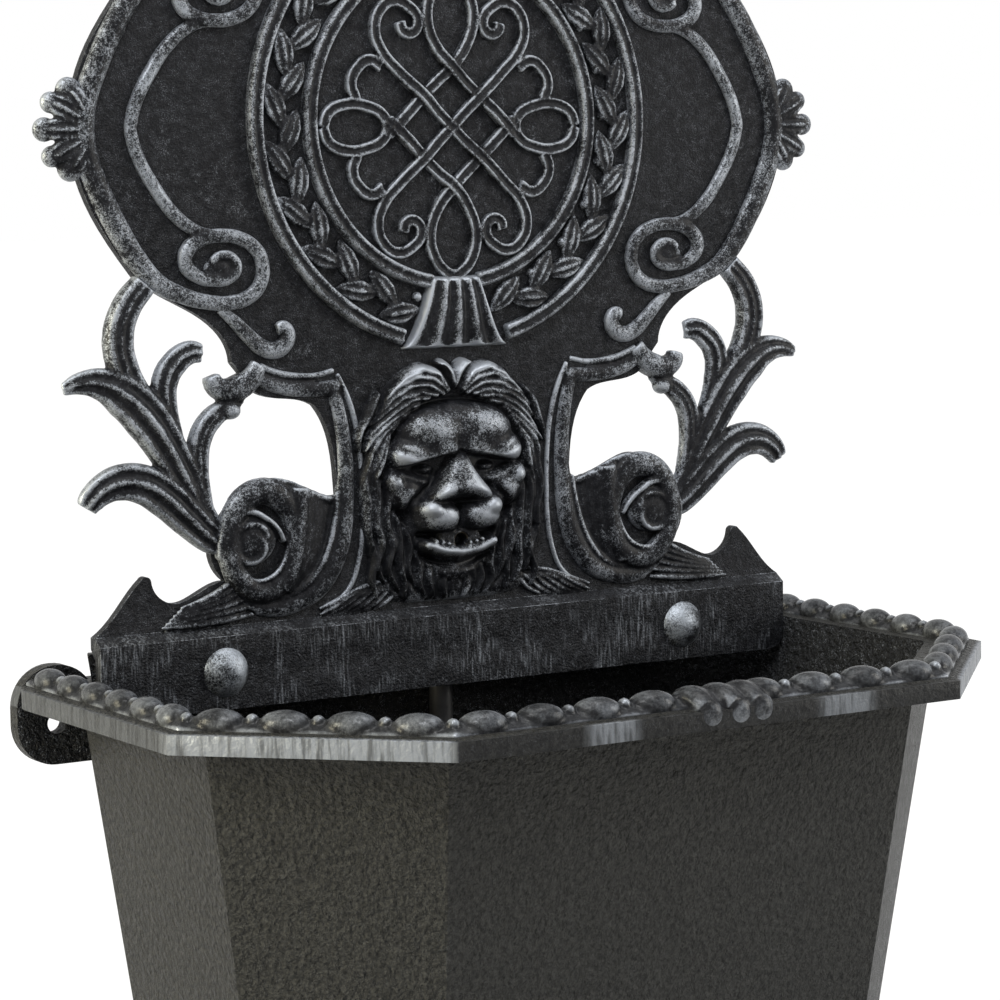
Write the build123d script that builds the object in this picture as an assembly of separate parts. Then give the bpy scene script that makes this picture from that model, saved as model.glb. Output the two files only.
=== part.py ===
from build123d import *
import os
from math import atan2, cos, degrees, radians, sin, sqrt

# Wall fountain with a lion mask: a relief back plate bolted to a half-octagon trough.
# Millimetres. X runs along the wall, Y goes into the wall, Z is up.
# The origin is midway between the two wall screw holes, on the wall's face.

# Fixing ears of the trough
ear_hole_spacing = 356.0
ear_hole_diameter = 8.4
ear_thickness = 7.0
ear_width = 35.0
ear_foot = 17.0
ear_top = 24.0
ear_corner = 17.0

# Trough, measured outside, just under the rim
trough_half_width = 177.0
trough_depth = 202.5
trough_corner_cut = 66.8
trough_taper = 0.155
back_corner_width = 15.0
back_corner_depth = 30.0
trough_bottom = -150.0
wall_thickness = 5.0
floor_thickness = 6.0
rim_bottom = 8.5
rim_overhang = 19.6
fascia_height = 7.5
shelf_rise = 1.0
shelf_width = 4.0
rim_end_radius = 18.0
back_gap = 8.5
back_wall_thickness = 5.0
back_wall_top = 28.0

# Bead that runs round the rim
bead_width = 13.0
bead_height = 7.2
bead_offset = 9.0

# Back plate: the outline is drawn from the ledge on top of the apron
plate_front = 31.0
plate_thickness = 4.0
ledge_height = 37.0
apron_half_width = 171.5
apron_front = 36.0
apron_thickness = 5.0
ledge_drop = 3.5
apron_drop = 34.0
apron_corner = 8.0
apron_neck_drop = 9.0
boss_diameter = 22.0
horn_x = 147.6
horn_height = 23.0
volute_x = 93.0
volute_height = 32.0
neck_half_width = 58.0
shoulder_height = 92.0
bud_x = 101.0
bud_height = 101.5
stem_x = 142.7
stem_drop = 64.2
waist_half_width = 176.0
waist_height = 203.5
medallion_height = 206.5
arch_radius = 111.0

# Raised work on the plate
border_width = 6.5
scroll_eye_x = 112.0
scroll_eye_drop = 56.0
scroll_band = 4.5
scroll_height = 4.0
scroll_turn = 20.0
scroll_step = 4.6
scroll_half_turns = 4
ridge_inset = 25.5
volute_band = 5.0
volute_relief = 8.0
volute_sweep = 30.5
volute_turn = 19.5
volute_step = 3.8
volute_half_turns = 4
eye_share = 0.75
ring_inner_radius = 69.0
ring_outer_radius = 94.5
ring_width = 7.0
ring_height = 4.5
knot_strap = 4.0
knot_height = 3.0
knot_reach = 62.0
wreath_leaves = 26
wreath_leaf_length = 17.0
wreath_leaf_width = 8.0
wreath_relief = 3.0
tie_top_half_width = 13.0
tie_foot_half_width = 26.0
tie_top_height = 139.0
tie_foot_height = 111.5
tie_relief = 7.5
tie_folds = 5
spray_relief = 4.5
crest_height = 58.0
crest_petals = 7
crest_petal_width = 17.0
crest_spread = 78.0
crest_curl = 11.0
crest_half_width = 49.7
crest_root = 6.0
crest_relief = 4.0
cluster_relief = 5.0
foot_leaf_relief = 4.0

# Lion mask
mask_x = -2.0
mask_relief = 12.0
muzzle_relief = 17.0
mane_relief = 6.5
mouth_height = 28.0
mouth_half_width = 15.0
mouth_gap = 4.0

# Carriage bolts that clamp the plate to the trough
bolt_spacing = 230.0
bolt_drop = 18.5
bolt_diameter = 8.0
bolt_clearance = 0.5
bolt_head_diameter = 20.5
bolt_head_height = 5.6
bolt_tail = 1.2
nut_width = 13.0
nut_height = 4.0
washer_diameter = 16.0
washer_thickness = 1.6

# Water way from the pump to the mouth
spout_diameter = 9.0
spout_bore = 6.5
spout_setback = 10.0
spout_clearance = 0.4
seal_thickness = 1.5
seal_diameter = 18.0
elbow_diameter = 12.5
riser_diameter = 10.0
riser_bore = 7.0
riser_bend = 14.0
coupling_diameter = 16.0
coupling_length = 22.0
socket_depth = 7.0
fit_clearance = 0.05

# Submersible pump, lying along X on the trough's floor
pump_width = 44.0
pump_height = 44.0
motor_length = 44.0
cover_length = 16.0
strainer_length = 6.0
pump_setback = 42.0
foot_height = 6.0
foot_diameter = 12.0
foot_inset = 9.0
chamber_diameter = 20.0
chamber_length = 32.0
volute_diameter = 32.0
volute_length = 10.0
rotor_diameter = 18.6
rotor_length = 30.0
blade_diameter = 29.0
blade_length = 7.0
blade_thickness = 2.0
blade_count = 6
hub_diameter = 9.0
shaft_diameter = 3.0
shaft_clearance = 0.05
bush_diameter = 7.0
bush_length = 4.0
running_gap = 0.5
seal_ring_width = 2.5
seal_ring_depth = 1.5
inlet_diameter = 15.0
nozzle_diameter = 12.0
nozzle_length = 14.0
dial_diameter = 13.0
dial_thickness = 4.0
dial_stem_diameter = 5.0
dial_stem_length = 5.0
dial_grip = 3.0
dial_clearance = 0.3
dial_offset = 15.5
gland_diameter = 10.0
gland_length = 12.0
gland_bore = 5.0
slot_count = 7
slot_width = 3.0
slot_margin = 5.0

# Drain plug in the trough's floor
drain_x = -95.0
drain_setback = 105.0
drain_diameter = 22.0
plug_clearance = 0.4
plug_flange_diameter = 32.0
plug_flange_height = 4.0
plug_knob_diameter = 12.0
plug_knob_height = 11.0

rim_top = rim_bottom + fascia_height + shelf_rise
floor_top = trough_bottom + floor_thickness
back_wall_front = back_gap + back_wall_thickness
plate_back = plate_front - plate_thickness
crown_height = medallion_height + arch_radius
stem_height = waist_height - stem_drop
bolt_z = ledge_height - bolt_drop
mouth_z = ledge_height + mouth_height
riser_y = -(plate_back - seal_thickness - elbow_diameter / 2)
pump_y = -pump_setback
pump_bottom = floor_top + foot_height
pump_axis_z = pump_bottom + pump_height / 2
pump_top = pump_bottom + pump_height
cover_x = mask_x - cover_length / 2
motor_x = cover_x - motor_length

face_plane = Plane(origin=(0, -plate_front, ledge_height), x_dir=(1, 0, 0), z_dir=(0, -1, 0))
wall_plane = Plane(origin=(0, 0, 0), x_dir=(1, 0, 0), z_dir=(0, -1, 0))


def raised(sketch, height, sink=0.0):
    """Stand a sketch on the plate's front face, sinking it into the plate's depth where asked."""
    base = Plane(face_plane.origin + Vector(0, sink, 0), x_dir=(1, 0, 0), z_dir=(0, -1, 0))
    return extrude(base * sketch, amount=height + sink)


def blade(root, tip, left, right):
    """A leaf shape between two points, bulging by left and right of the line that joins them."""
    length = sqrt((tip[0] - root[0]) ** 2 + (tip[1] - root[1]) ** 2)
    across = ((root[1] - tip[1]) / length, (tip[0] - root[0]) / length)
    middle = ((root[0] + tip[0]) / 2, (root[1] + tip[1]) / 2)
    over = (middle[0] + across[0] * left, middle[1] + across[1] * left)
    under = (middle[0] - across[0] * right, middle[1] - across[1] * right)
    return make_face([ThreePointArc(root, over, tip), ThreePointArc(tip, under, root)])


def joined(shapes):
    """Fuse a list of shapes into one."""
    whole = shapes[0]
    for shape in shapes[1:]:
        whole = whole + shape
    return whole


def both_sides(sketch):
    return sketch + mirror(sketch, about=Plane.YZ)


def rod(diameter, start, end):
    """A round bar between two points."""
    way = Vector(*end) - Vector(*start)
    return extrude(Plane(origin=start, z_dir=way) * Circle(diameter / 2), amount=way.length)


def block(x, y, z):
    """A box from its low and high values on each axis."""
    size = [span[1] - span[0] for span in (x, y, z)]
    middle = [(span[0] + span[1]) / 2 for span in (x, y, z)]
    return Pos(*middle) * Box(*size)


def polar(centre, radius, angle):
    return (centre[0] + radius * cos(radians(angle)), centre[1] + radius * sin(radians(angle)))


# Trough


def tub_corners(offset, level):
    """Corners of the half octagon at a level of the tapered walls, grown by an offset."""
    grow = offset - trough_taper * (rim_bottom - level)
    width = trough_half_width + grow
    depth = trough_depth + grow
    reach = trough_half_width + trough_depth - trough_corner_cut + sqrt(2) * grow
    right = [(width, 0), (width, width - reach), (reach - depth, -depth)]
    return right + [(-x, y) for x, y in reversed(right)]


def tub_face(offset, level, height):
    return Plane.XY.offset(height) * make_face(Polyline(*tub_corners(offset, level), close=True))


def tub(offset, low, high):
    """The half octagon drawn out between two levels, with its back corners cut clear of the ears."""
    body = loft([tub_face(offset, low, low), tub_face(offset, high, high)], ruled=True)
    for side in (-1, 1):
        wedges = []
        for level in (low, high):
            x = side * tub_corners(offset, level)[0][0]
            corner = Polyline((x - side * back_corner_width, 0), (x, -back_corner_depth), (x + side, 0), close=True)
            wedges.append(Plane.XY.offset(level) * make_face(corner))
        body -= loft(wedges, ruled=True)
    return body


def bolt_places():
    return [-bolt_spacing / 2, bolt_spacing / 2]


def make_trough():
    lip = extrude(tub_face(rim_overhang, rim_bottom, rim_bottom), amount=fascia_height)
    slope_foot = tub_face(rim_overhang, rim_bottom, rim_bottom + fascia_height)
    slope_top = tub_face(rim_overhang - shelf_width, rim_bottom, rim_top)
    shell = tub(0, trough_bottom, rim_bottom) + lip + loft([slope_foot, slope_top], ruled=True)
    for side in (-1, 1):
        edge = side * (trough_half_width + rim_overhang)
        middle = edge - side * rim_end_radius
        corner = block(sorted((middle, edge)), (-rim_end_radius, 0), (rim_bottom, rim_top))
        shell -= corner - rod(2 * rim_end_radius, (middle, -rim_end_radius, rim_bottom), (middle, -rim_end_radius, rim_top))
    hollow = tub(-wall_thickness, floor_top, back_wall_top)
    slab = block(
        (-trough_half_width, trough_half_width),
        (-back_wall_front, -back_gap),
        (floor_top, back_wall_top),
    )
    trough = shell - hollow + (hollow & slab)
    for side in (-1, 1):
        ear_middle = (side * ear_hole_spacing / 2, (ear_top - ear_foot) / 2)
        ear = RectangleRounded(ear_width, ear_top + ear_foot, ear_corner)
        trough += extrude(wall_plane * Pos(*ear_middle) * ear, amount=ear_thickness)
        root = (side * (trough_half_width - back_corner_width - wall_thickness), side * ear_hole_spacing / 2)
        trough += block(sorted(root), (-ear_thickness, 0), (-ear_foot, rim_bottom))
    for side in (-1, 1):
        x = side * ear_hole_spacing / 2
        trough -= rod(ear_hole_diameter, (x, -ear_thickness, 0), (x, 0, 0))
    for x in bolt_places():
        hole = bolt_diameter + 2 * bolt_clearance
        trough -= rod(hole, (x, -back_wall_front, bolt_z), (x, -back_gap, bolt_z))
    return trough - rod(drain_diameter, (drain_x, -drain_setback, trough_bottom), (drain_x, -drain_setback, floor_top))


def make_rim_bead():
    corners = tub_corners(bead_offset, rim_bottom)
    run = [(corners[0][0], -ear_thickness)] + corners[1:5] + [(corners[5][0], -ear_thickness)]
    path = Polyline(*[(x, y, rim_top) for x, y in run])
    half = bead_width / 2
    side = bead_height - half
    section = make_face(
        [
            Polyline((half, side), (half, 0), (-half, 0), (-half, side)),
            ThreePointArc((-half, side), (0, bead_height), (half, side)),
        ]
    )
    start = Plane(origin=(run[0][0], run[0][1], rim_top), x_dir=(1, 0, 0), z_dir=(0, -1, 0))
    return sweep(start * section, path=path, transition=Transition.RIGHT)


# Back plate


def plate_half():
    """Right half of the plate's outline: horn, volute, neck, shoulder, scroll, crown."""
    horn = (horn_x, horn_height)
    volute = (volute_x, volute_height)
    bud = (bud_x, bud_height)
    stem = (stem_x, stem_height)
    room = stem_height - bud_height

    def near(anchor, *steps):
        return [(anchor[0] + dx, anchor[1] + dz) for dx, dz in steps]

    horn_back, horn_tip, horn_front = near(horn, (2.4, -1.0), (0.0, 0.0), (-2.0, -2.0))
    volute_low, volute_out, volute_high = near(volute, (19.0, -13.5), (25.7, 0.0), (19.0, 14.0))
    neck_low = (neck_half_width, volute_height + 18.5)
    neck_high = (neck_half_width + 10.5, shoulder_height - 3.2)
    bud_low, bud_high = near(bud, (-5.0, -6.0), (5.5, 6.5))
    stem_low, stem_high = near(stem, (-5.7, -3.3), (5.7, 3.3))
    waist = (waist_half_width, waist_height)
    upper = waist_height + stem_drop
    arch_start = polar((0, medallion_height), arch_radius, 36)
    outline = [
        Line((0, 0), (apron_half_width, 0)),
        Spline((apron_half_width, 0), *near(horn, (13.9, -14.0), (6.9, -5.5)), horn_back),
        ThreePointArc(horn_back, horn_tip, horn_front),
        Spline(horn_front, *near(horn, (-6.1, -9.4), (-11.6, -11.8), (-21.6, -9.2)), volute_low),
        ThreePointArc(volute_low, volute_out, volute_high),
        Spline(volute_high, *near(volute, (11, 22.5), (0, 27.8), (-13, 24.2), (-25, 19.6)), neck_low),
        Spline(
            neck_low,
            (neck_half_width + 1.3, shoulder_height - 26),
            (neck_half_width + 4.5, shoulder_height - 13),
            neck_high,
        ),
        Spline(
            neck_high,
            (neck_half_width + 17, shoulder_height - 0.8),
            (neck_half_width + 28, shoulder_height + 0.5),
            bud_low,
        ),
        Line(bud_low, bud_high),
        Spline(bud_high, *near(bud, (7.5, 0.37 * room), (15.0, 0.6 * room), (26.0, 0.78 * room)), stem_low),
        Line(stem_low, stem_high),
        Spline(
            stem_high,
            (waist_half_width - 14.8, waist_height - 43.5),
            (waist_half_width - 4.2, waist_height - 23.5),
            waist,
            (waist_half_width - 4.2, waist_height + 23.5),
            (waist_half_width - 14.8, waist_height + 43.5),
            (stem_high[0], 2 * waist_height - stem_high[1]),
        ),
        Spline(
            (stem_high[0], 2 * waist_height - stem_high[1]),
            (stem_x - 4, upper + 6),
            (stem_x - 17, upper + 12.5),
            (stem_x - 30, upper + 13.5),
            (stem_x - 42, upper + 9.5),
            arch_start,
        ),
        ThreePointArc(arch_start, polar((0, medallion_height), arch_radius, 63), (0, crown_height)),
        Line((0, crown_height), (0, 0)),
    ]
    return make_face(outline)


plate_face = both_sides(plate_half())


def make_back_plate():
    plate = raised(plate_face, 0, plate_thickness)
    foot = ledge_height - apron_drop
    front_top = ledge_height - ledge_drop
    neck = ledge_height - apron_neck_drop
    section = Polyline(
        (-plate_back, ledge_height),
        (-plate_front, ledge_height),
        (-apron_front, front_top),
        (-apron_front, foot),
        (-apron_front + apron_thickness, foot),
        (-apron_front + apron_thickness, neck),
        (-plate_back, neck + plate_thickness),
        close=True,
    )
    end = Plane(origin=(-apron_half_width, 0, 0), x_dir=(0, 1, 0), z_dir=(1, 0, 0))
    apron = extrude(end * make_face(section), amount=2 * apron_half_width)
    corners = apron.edges().filter_by(Axis.Y).group_by(Axis.Z)[0]
    plate += fillet(corners, apron_corner)
    hole = bolt_diameter + 2 * bolt_clearance
    for x in bolt_places():
        plate += rod(boss_diameter, (x, -apron_front + apron_thickness, bolt_z), (x, -back_wall_front, bolt_z))
    for x in bolt_places():
        plate -= rod(hole, (x, -apron_front, bolt_z), (x, -back_wall_front, bolt_z))
    return plate - spout_way()


def spout_way():
    """The round way for the spout tube through the plate and the mask."""
    width = spout_diameter + 2 * spout_clearance
    return rod(width, (mask_x, -plate_back, mouth_z), (mask_x, -plate_front - muzzle_relief, mouth_z))


def moulding(centre, radius, start, end, width, height):
    """A round-topped band on the plate along an arc, from a start to an end angle."""
    half = width / 2
    side = height - 0.8 * half
    section = make_face(
        [
            Polyline((radius + half, side), (radius + half, 0), (radius - half, 0), (radius - half, side)),
            ThreePointArc((radius - half, side), (radius, height), (radius + half, side)),
        ]
    )
    origin = (centre[0], -plate_front, ledge_height + centre[1])
    out = (cos(radians(start)), 0, sin(radians(start)))
    plane = Plane(origin=origin, x_dir=out, z_dir=(out[2], 0, -out[0]))
    return revolve(plane * section, axis=Axis(origin, (0, -1, 0)), revolution_arc=end - start)


def winding(start, radii, upward, width, height):
    """Half circles that wind to a round eye, from a point on a level line, first above or below it."""
    x, z = start
    heading = 1
    over = upward
    bands = []
    for radius in radii:
        centre = (x + heading * radius, z)
        low = 0 if over else 180
        bands.append(moulding(centre, radius, low, low + 180, width, height))
        x += 2 * heading * radius
        heading = -heading
        over = not over
    eye = raised(Pos(x + heading * radii[-1], z) * Circle(radii[-1] * eye_share), height)
    tail = raised(Pos(x, z) * Circle(width / 2), height)
    return joined(bands) + eye + tail


def make_scroll():
    """The right C scroll: a band along the plate's edge that winds into a volute at each end."""
    eye = (scroll_eye_x, waist_height - scroll_eye_drop)
    radii = [scroll_turn - scroll_step * index for index in range(scroll_half_turns)]
    band = winding((eye[0] - scroll_turn, eye[1]), radii, True, scroll_band, scroll_height)
    edge = waist_half_width - border_width
    reach = edge - scroll_turn
    middle = (reach**2 - eye[0] ** 2 - scroll_eye_drop**2) / (2 * (reach - eye[0]))
    swing = degrees(atan2(scroll_eye_drop, eye[0] - middle))
    band += moulding(eye, scroll_turn, 180, 360 - swing, scroll_band, scroll_height)
    centre = (middle, waist_height)
    band += moulding(centre, edge - middle, -swing, 0, scroll_band, scroll_height)
    ridge_x = waist_half_width - ridge_inset
    foot = polar(eye, scroll_turn, 66)
    drop = waist_height - foot[1]
    ridge_middle = (ridge_x**2 - foot[0] ** 2 - drop**2) / (2 * (ridge_x - foot[0]))
    ridge_swing = degrees(atan2(drop, foot[0] - ridge_middle))
    ridge_centre = (ridge_middle, waist_height)
    ridge = moulding(ridge_centre, ridge_x - ridge_middle, -ridge_swing, 0, scroll_band, scroll_height)
    level = Plane.XY.offset(ledge_height + waist_height)
    half = band + ridge
    return half + mirror(half, about=level)


def make_strap():
    """The right strap: down from the shoulder, outwards below and round into the lower volute."""
    start = (neck_half_width - volute_band + 1.0, volute_height + 1.0)
    inner = [volute_turn - volute_step * index for index in range(volute_half_turns)]
    low_centre = (start[0] + volute_sweep, start[1])
    band = moulding(low_centre, volute_sweep, 180, 360, volute_band, volute_relief)
    far = low_centre[0] + volute_sweep
    curl = winding((-far, start[1]), inner, True, volute_band, volute_relief)
    band += mirror(curl, about=Plane.YZ)
    knee = (neck_half_width + 5.0, shoulder_height - 1.0)
    across = knee[0] - start[0]
    rise = knee[1] - start[1]
    radius = (across**2 + rise**2) / (2 * across)
    lean = degrees(atan2(rise, radius - across))
    band += moulding((start[0] + radius, start[1]), radius, 180 - lean, 180, volute_band, volute_relief)
    brow = Line((knee[0] - 1.5, knee[1] + 3.0), (bud_x - 5.0, bud_height - 2.5))
    return band + raised(trace(brow, border_width), volute_relief)


def make_spray():
    """The right leaf spray: a stem to the scroll, three leaves and a branch that ends in a bud."""
    root = (volute_x + 20.0, volute_height + 5.0)
    lower = (volute_x + 81.5, volute_height + 17.0)
    outer = (stem_x + 41.0, bud_height - 0.2)
    room = stem_height - bud_height
    inner = (stem_x - 26.5, bud_height + 0.294 * room)
    crotch = (stem_x - 7.5, bud_height - 18.0)
    bud = (bud_x, bud_height)

    def near(anchor, *steps):
        return [(anchor[0] + dx, anchor[1] + dz) for dx, dz in steps]

    def up(low, high, *steps):
        """Places on the way up the stem, each a step aside and a share of the rise."""
        return [(low[0] + dx, low[1] + share * (high[1] - low[1])) for dx, share in steps]

    notch = (stem_x + 11.3, volute_height + 36.3)
    fork = (stem_x + 20.3, bud_height + 0.159 * room)
    stem_end = (stem_x + 3.0, stem_height + 2.0)
    stem_start = (stem_x - 7.0, stem_height - 1.0)
    armpit = (stem_x + 2.4, bud_height + 0.156 * room)
    bud_tip = (bud_x + 16.0, bud_height + 4.0)
    bud_end = (bud_x, bud_height)
    drop = (bud_x + 11.5, bud_height - 16.2)
    outline = [
        Spline(root, *near(root, (5.0, -6.5), (17.0, -2.5), (33.0, 9.5)), *near(lower, (-12, 4.0), (-4.5, 0.0)), lower),
        Spline(lower, *near(lower, (2.5, 3.5), (1.5, 9.5), (-4.5, 15.0), (-13.5, 18.5)), notch),
        Spline(notch, *near(notch, (4.0, 9.7), (13.0, 21.7)), *near(outer, (-5.7, -3.3)), outer),
        Spline(outer, *near(outer, (-2.7, 3.5), (-11.7, 7.0)), fork),
        Spline(fork, *up(fork, stem_end, (0.0, 0.19), (-1.5, 0.55), (-7.0, 0.83)), stem_end),
        Line(stem_end, stem_start),
        Spline(stem_start, *up(armpit, stem_start, (-2.0, 0.82), (3.2, 0.53), (3.5, 0.21)), armpit),
        Spline(
            armpit,
            *near(armpit, (-7.0, 0.172 * room), (-15.0, 0.291 * room), (-21.0, 0.296 * room), (-26.5, 0.212 * room)),
            inner,
        ),
        Spline(inner, *near(inner, (6.0, -2.6), (12.3, -8.0), (16.8, -17.0)), crotch),
        Spline(crotch, *near(crotch, (-6.7, 5.0)), *near(bud, (19.0, -8.2), (15.5, -7.0))),
        Spline(*near(bud, (15.5, -7.0), (18.3, -3.0), (18.0, 2.0)), bud_tip),
        Spline(bud_tip, *near(bud, (13.5, 2.2), (9.0, 3.0)), bud_end),
        Line(bud_end, (bud_x - 4.0, bud_height - 6.5)),
        Spline((bud_x - 4.0, bud_height - 6.5), *near(bud, (0.5, -9.3), (6.5, -11.3)), drop),
        Spline(drop, *near(drop, (6.5, -2.5), (11.0, -11.3), (12.0, -20.3), (9.0, -31.3)), root),
    ]
    return raised(make_face(outline) - plate_face, spray_relief, plate_thickness)


def make_ring(radius):
    """A round moulding of the medallion, broken where the tie crosses it and under the tie's foot."""
    below = medallion_height - ring_outer_radius - ring_width
    gap = Polyline(
        (-tie_foot_half_width, below),
        (-tie_foot_half_width, tie_foot_height),
        (-tie_top_half_width, tie_top_height),
        (tie_top_half_width, tie_top_height),
        (tie_foot_half_width, tie_foot_height),
        (tie_foot_half_width, below),
        close=True,
    )
    ring = moulding((0, medallion_height), radius, 0, 360, ring_width, ring_height)
    return ring - raised(make_face(gap), ring_height)


def make_knot():
    """Interlaced straps inside the inner ring, alike in its four quarters."""
    straps = []
    for side in (-1, 1):
        for rise in (-1, 1):

            def spot(across, away):
                """A place in this quarter, in shares of the knot's reach from its middle."""
                return (side * across * knot_reach, medallion_height + rise * away * knot_reach)

            straps.append(Line(spot(0, 0), spot(0.47, 0.435)))
            straps.append(ThreePointArc(spot(0.47, 0.435), spot(0.6, 0.63), spot(0.435, 0.83)))
            straps.append(ThreePointArc(spot(0.435, 0.83), spot(0.225, 0.725), spot(0.34, 0.6)))
            straps.append(Line(spot(-0.5, 0), spot(0.05, 0.45)))
            straps.append(ThreePointArc(spot(0.05, 0.45), spot(0.195, 0.74), spot(0, 1)))
            straps.append(ThreePointArc(spot(0.5, 0), spot(0.76, 0.16), spot(0.985, 0.08)))
            straps.append(ThreePointArc(spot(0.74, 0.16), spot(0.79, 0.355), spot(0.6, 0.42)))
    return raised(joined([trace(strap, knot_strap) for strap in straps]), knot_height)


def make_wreath():
    """Leaves laid head to tail round the band between the rings."""
    middle = (ring_inner_radius + ring_outer_radius) / 2
    step = 360 / wreath_leaves
    bulge = wreath_leaf_width / 2
    leaves = []
    for index in range(wreath_leaves):
        angle = index * step
        half = degrees(wreath_leaf_length / 2 / middle)
        if abs((angle + 90 + 180) % 360 - 180) < 2 * step:
            continue
        radius = middle + (bulge * 0.7 if index % 2 else -bulge * 0.7)
        root = polar((0, medallion_height), radius, angle - half)
        tip = polar((0, medallion_height), radius, angle + half)
        leaves.append(raised(blade(root, tip, bulge, bulge), wreath_relief))
    return leaves


def make_tie():
    """The pleated tie that gathers the wreath at the bottom of the medallion."""
    folds = []
    for index in range(tie_folds):
        share = (2 * index + 1) / tie_folds - 1
        top = tie_top_half_width / tie_folds
        foot = tie_foot_half_width / tie_folds
        left = (share * tie_top_half_width - top, tie_top_height)
        right = (share * tie_top_half_width + top, tie_top_height)
        foot_right = (share * tie_foot_half_width + foot, tie_foot_height)
        foot_left = (share * tie_foot_half_width - foot, tie_foot_height)
        fold = make_face(Polyline(left, right, foot_right, foot_left, close=True))
        folds.append(raised(fold, tie_relief * (0.7 + 0.3 * (index % 2 == 0))))
    return joined(folds)


def make_crest():
    """A palmette on the crown, with a small scroll at each foot."""
    foot = (0, crown_height - crest_root)
    petals = []
    for index in range(crest_petals):
        share = 2 * index / (crest_petals - 1) - 1
        angle = 90 - crest_spread * share
        length = (crest_height + crest_root) * (1 - 0.3 * share * share)
        petal = Ellipse(length / 2, crest_petal_width / 2)
        petals.append(Pos(*polar(foot, length / 2, angle)) * Rot(Z=angle) * petal)
    curl_radius = arch_radius + crest_curl * 0.7
    for side in (-1, 1):
        swing = degrees(crest_half_width / curl_radius)
        curl = polar((0, medallion_height), curl_radius, 90 - side * swing)
        petals.append(Pos(*curl) * Circle(crest_curl))
    return raised(joined(petals) - plate_face, crest_relief, plate_thickness)


def make_cluster():
    """The right bunch of berries and leaves on the plate's edge at its waist."""
    edge = waist_half_width
    berries = []
    for dx, dz, radius in ((0, 0, 10), (2, -16, 6.5), (10, -11, 6), (12, 0, 8), (10, 11, 6), (2, 16, 6.5)):
        berries.append(Pos(edge + dx, waist_height + dz) * Circle(radius))
    return raised(joined(berries) - plate_face, cluster_relief, plate_thickness)


def make_foot_leaf():
    """The right feathered leaf that lies on the plate beside the mane, under the volute."""
    inner = blade((neck_half_width - 10.0, 4.5), (neck_half_width + 12.0, 2.5), 2.4, 1.6)
    outer = blade((volute_x + 14.0, 7.5), (horn_x - 14.0, 5.0), 4.5, 3.0)
    return [raised(inner, foot_leaf_relief), raised(outer, foot_leaf_relief)]


# Lion mask


def bowed_section(height, half_width, relief):
    y = -plate_front
    base = Line((mask_x - half_width, y), (mask_x + half_width, y))
    bow = ThreePointArc((mask_x + half_width, y), (mask_x, y - relief), (mask_x - half_width, y))
    return Plane.XY.offset(ledge_height + height) * make_face([base, bow])


def make_mask():
    skull = [
        (8, 22, 0.45),
        (20, 29, 0.75),
        (34, 33, 0.92),
        (50, 34, 1.0),
        (66, 32, 1.0),
        (78, 26, 0.85),
        (86, 17, 0.5),
    ]
    muzzle = [(17, 12, 0.72), (24, 18, 0.9), (34, 20, 1.0), (44, 16, 0.97), (52, 10, 0.85), (60, 7, 0.72)]
    head = loft([bowed_section(z, w, mask_relief * share) for z, w, share in skull])
    head += loft([bowed_section(z, w, muzzle_relief * share) for z, w, share in muzzle])
    locks = []
    for side in (-1, 1):
        for index in range(7):
            angle = 90 - side * (12 + 21 * index)
            swing = side * (14 + 3 * index)
            root = polar((mask_x, 52), 26, angle)
            tip = polar((mask_x, 52), 50 - 1.2 * index, angle - swing)
            bow = -side * 5
            locks.append(blade(root, tip, 7 + bow, 7 - bow))
        for index in range(4):
            x = mask_x + side * (38 - 9 * index)
            locks.append(blade((x, 44 - 5 * index), (x - side * 2, 2.5), 5.5, 5.5))
    mane = raised(joined(locks) & plate_face, mane_relief)
    mouth = block(
        (mask_x - mouth_half_width, mask_x + mouth_half_width),
        (-plate_front - muzzle_relief, -plate_front - mask_relief * 0.6),
        (mouth_z - mouth_gap / 2, mouth_z + mouth_gap / 2),
    )
    return head + mane - mouth - spout_way()


# Bolts


def make_bolts():
    head_radius = bolt_head_diameter / 2
    ball_radius = (head_radius**2 + bolt_head_height**2) / (2 * bolt_head_height)
    bolts, washers, nuts = [], [], []
    nut_seat = -back_gap + washer_thickness
    for x in bolt_places():
        crown = -apron_front - bolt_head_height
        ball = Pos(x, crown + ball_radius, bolt_z) * Sphere(ball_radius)
        head = ball & rod(2 * ball_radius, (x, crown, bolt_z), (x, -apron_front, bolt_z))
        tail = (x, nut_seat + nut_height + bolt_tail, bolt_z)
        bolts.append(head + rod(bolt_diameter, (x, -apron_front, bolt_z), tail))
        hole = bolt_diameter + 2 * fit_clearance
        washer = rod(washer_diameter, (x, -back_gap, bolt_z), (x, nut_seat, bolt_z))
        washers.append(washer - rod(hole, (x, -back_gap, bolt_z), (x, nut_seat, bolt_z)))
        nut_plane = Plane(origin=(x, nut_seat, bolt_z), z_dir=(0, 1, 0))
        hexagon = RegularPolygon(nut_width / 2, 6, major_radius=False)
        nut = extrude(nut_plane * hexagon, amount=nut_height)
        nuts.append(nut - rod(hole, (x, nut_seat, bolt_z), (x, nut_seat + nut_height, bolt_z)))
    return bolts, washers, nuts


# Water way


def make_spout():
    front = -plate_front - muzzle_relief + spout_setback
    start = (mask_x, riser_y + spout_bore / 2, mouth_z)
    seat = (mask_x, riser_y - spout_bore / 2, mouth_z)
    end = (mask_x, front, mouth_z)
    return rod(spout_diameter, seat, end) - rod(spout_bore, start, end)


def make_spout_seal():
    back = -plate_back + seal_thickness
    ring = rod(seal_diameter, (mask_x, -plate_back, mouth_z), (mask_x, back, mouth_z))
    hole = spout_diameter + 2 * fit_clearance
    return ring - rod(hole, (mask_x, -plate_back, mouth_z), (mask_x, back, mouth_z))


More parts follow.
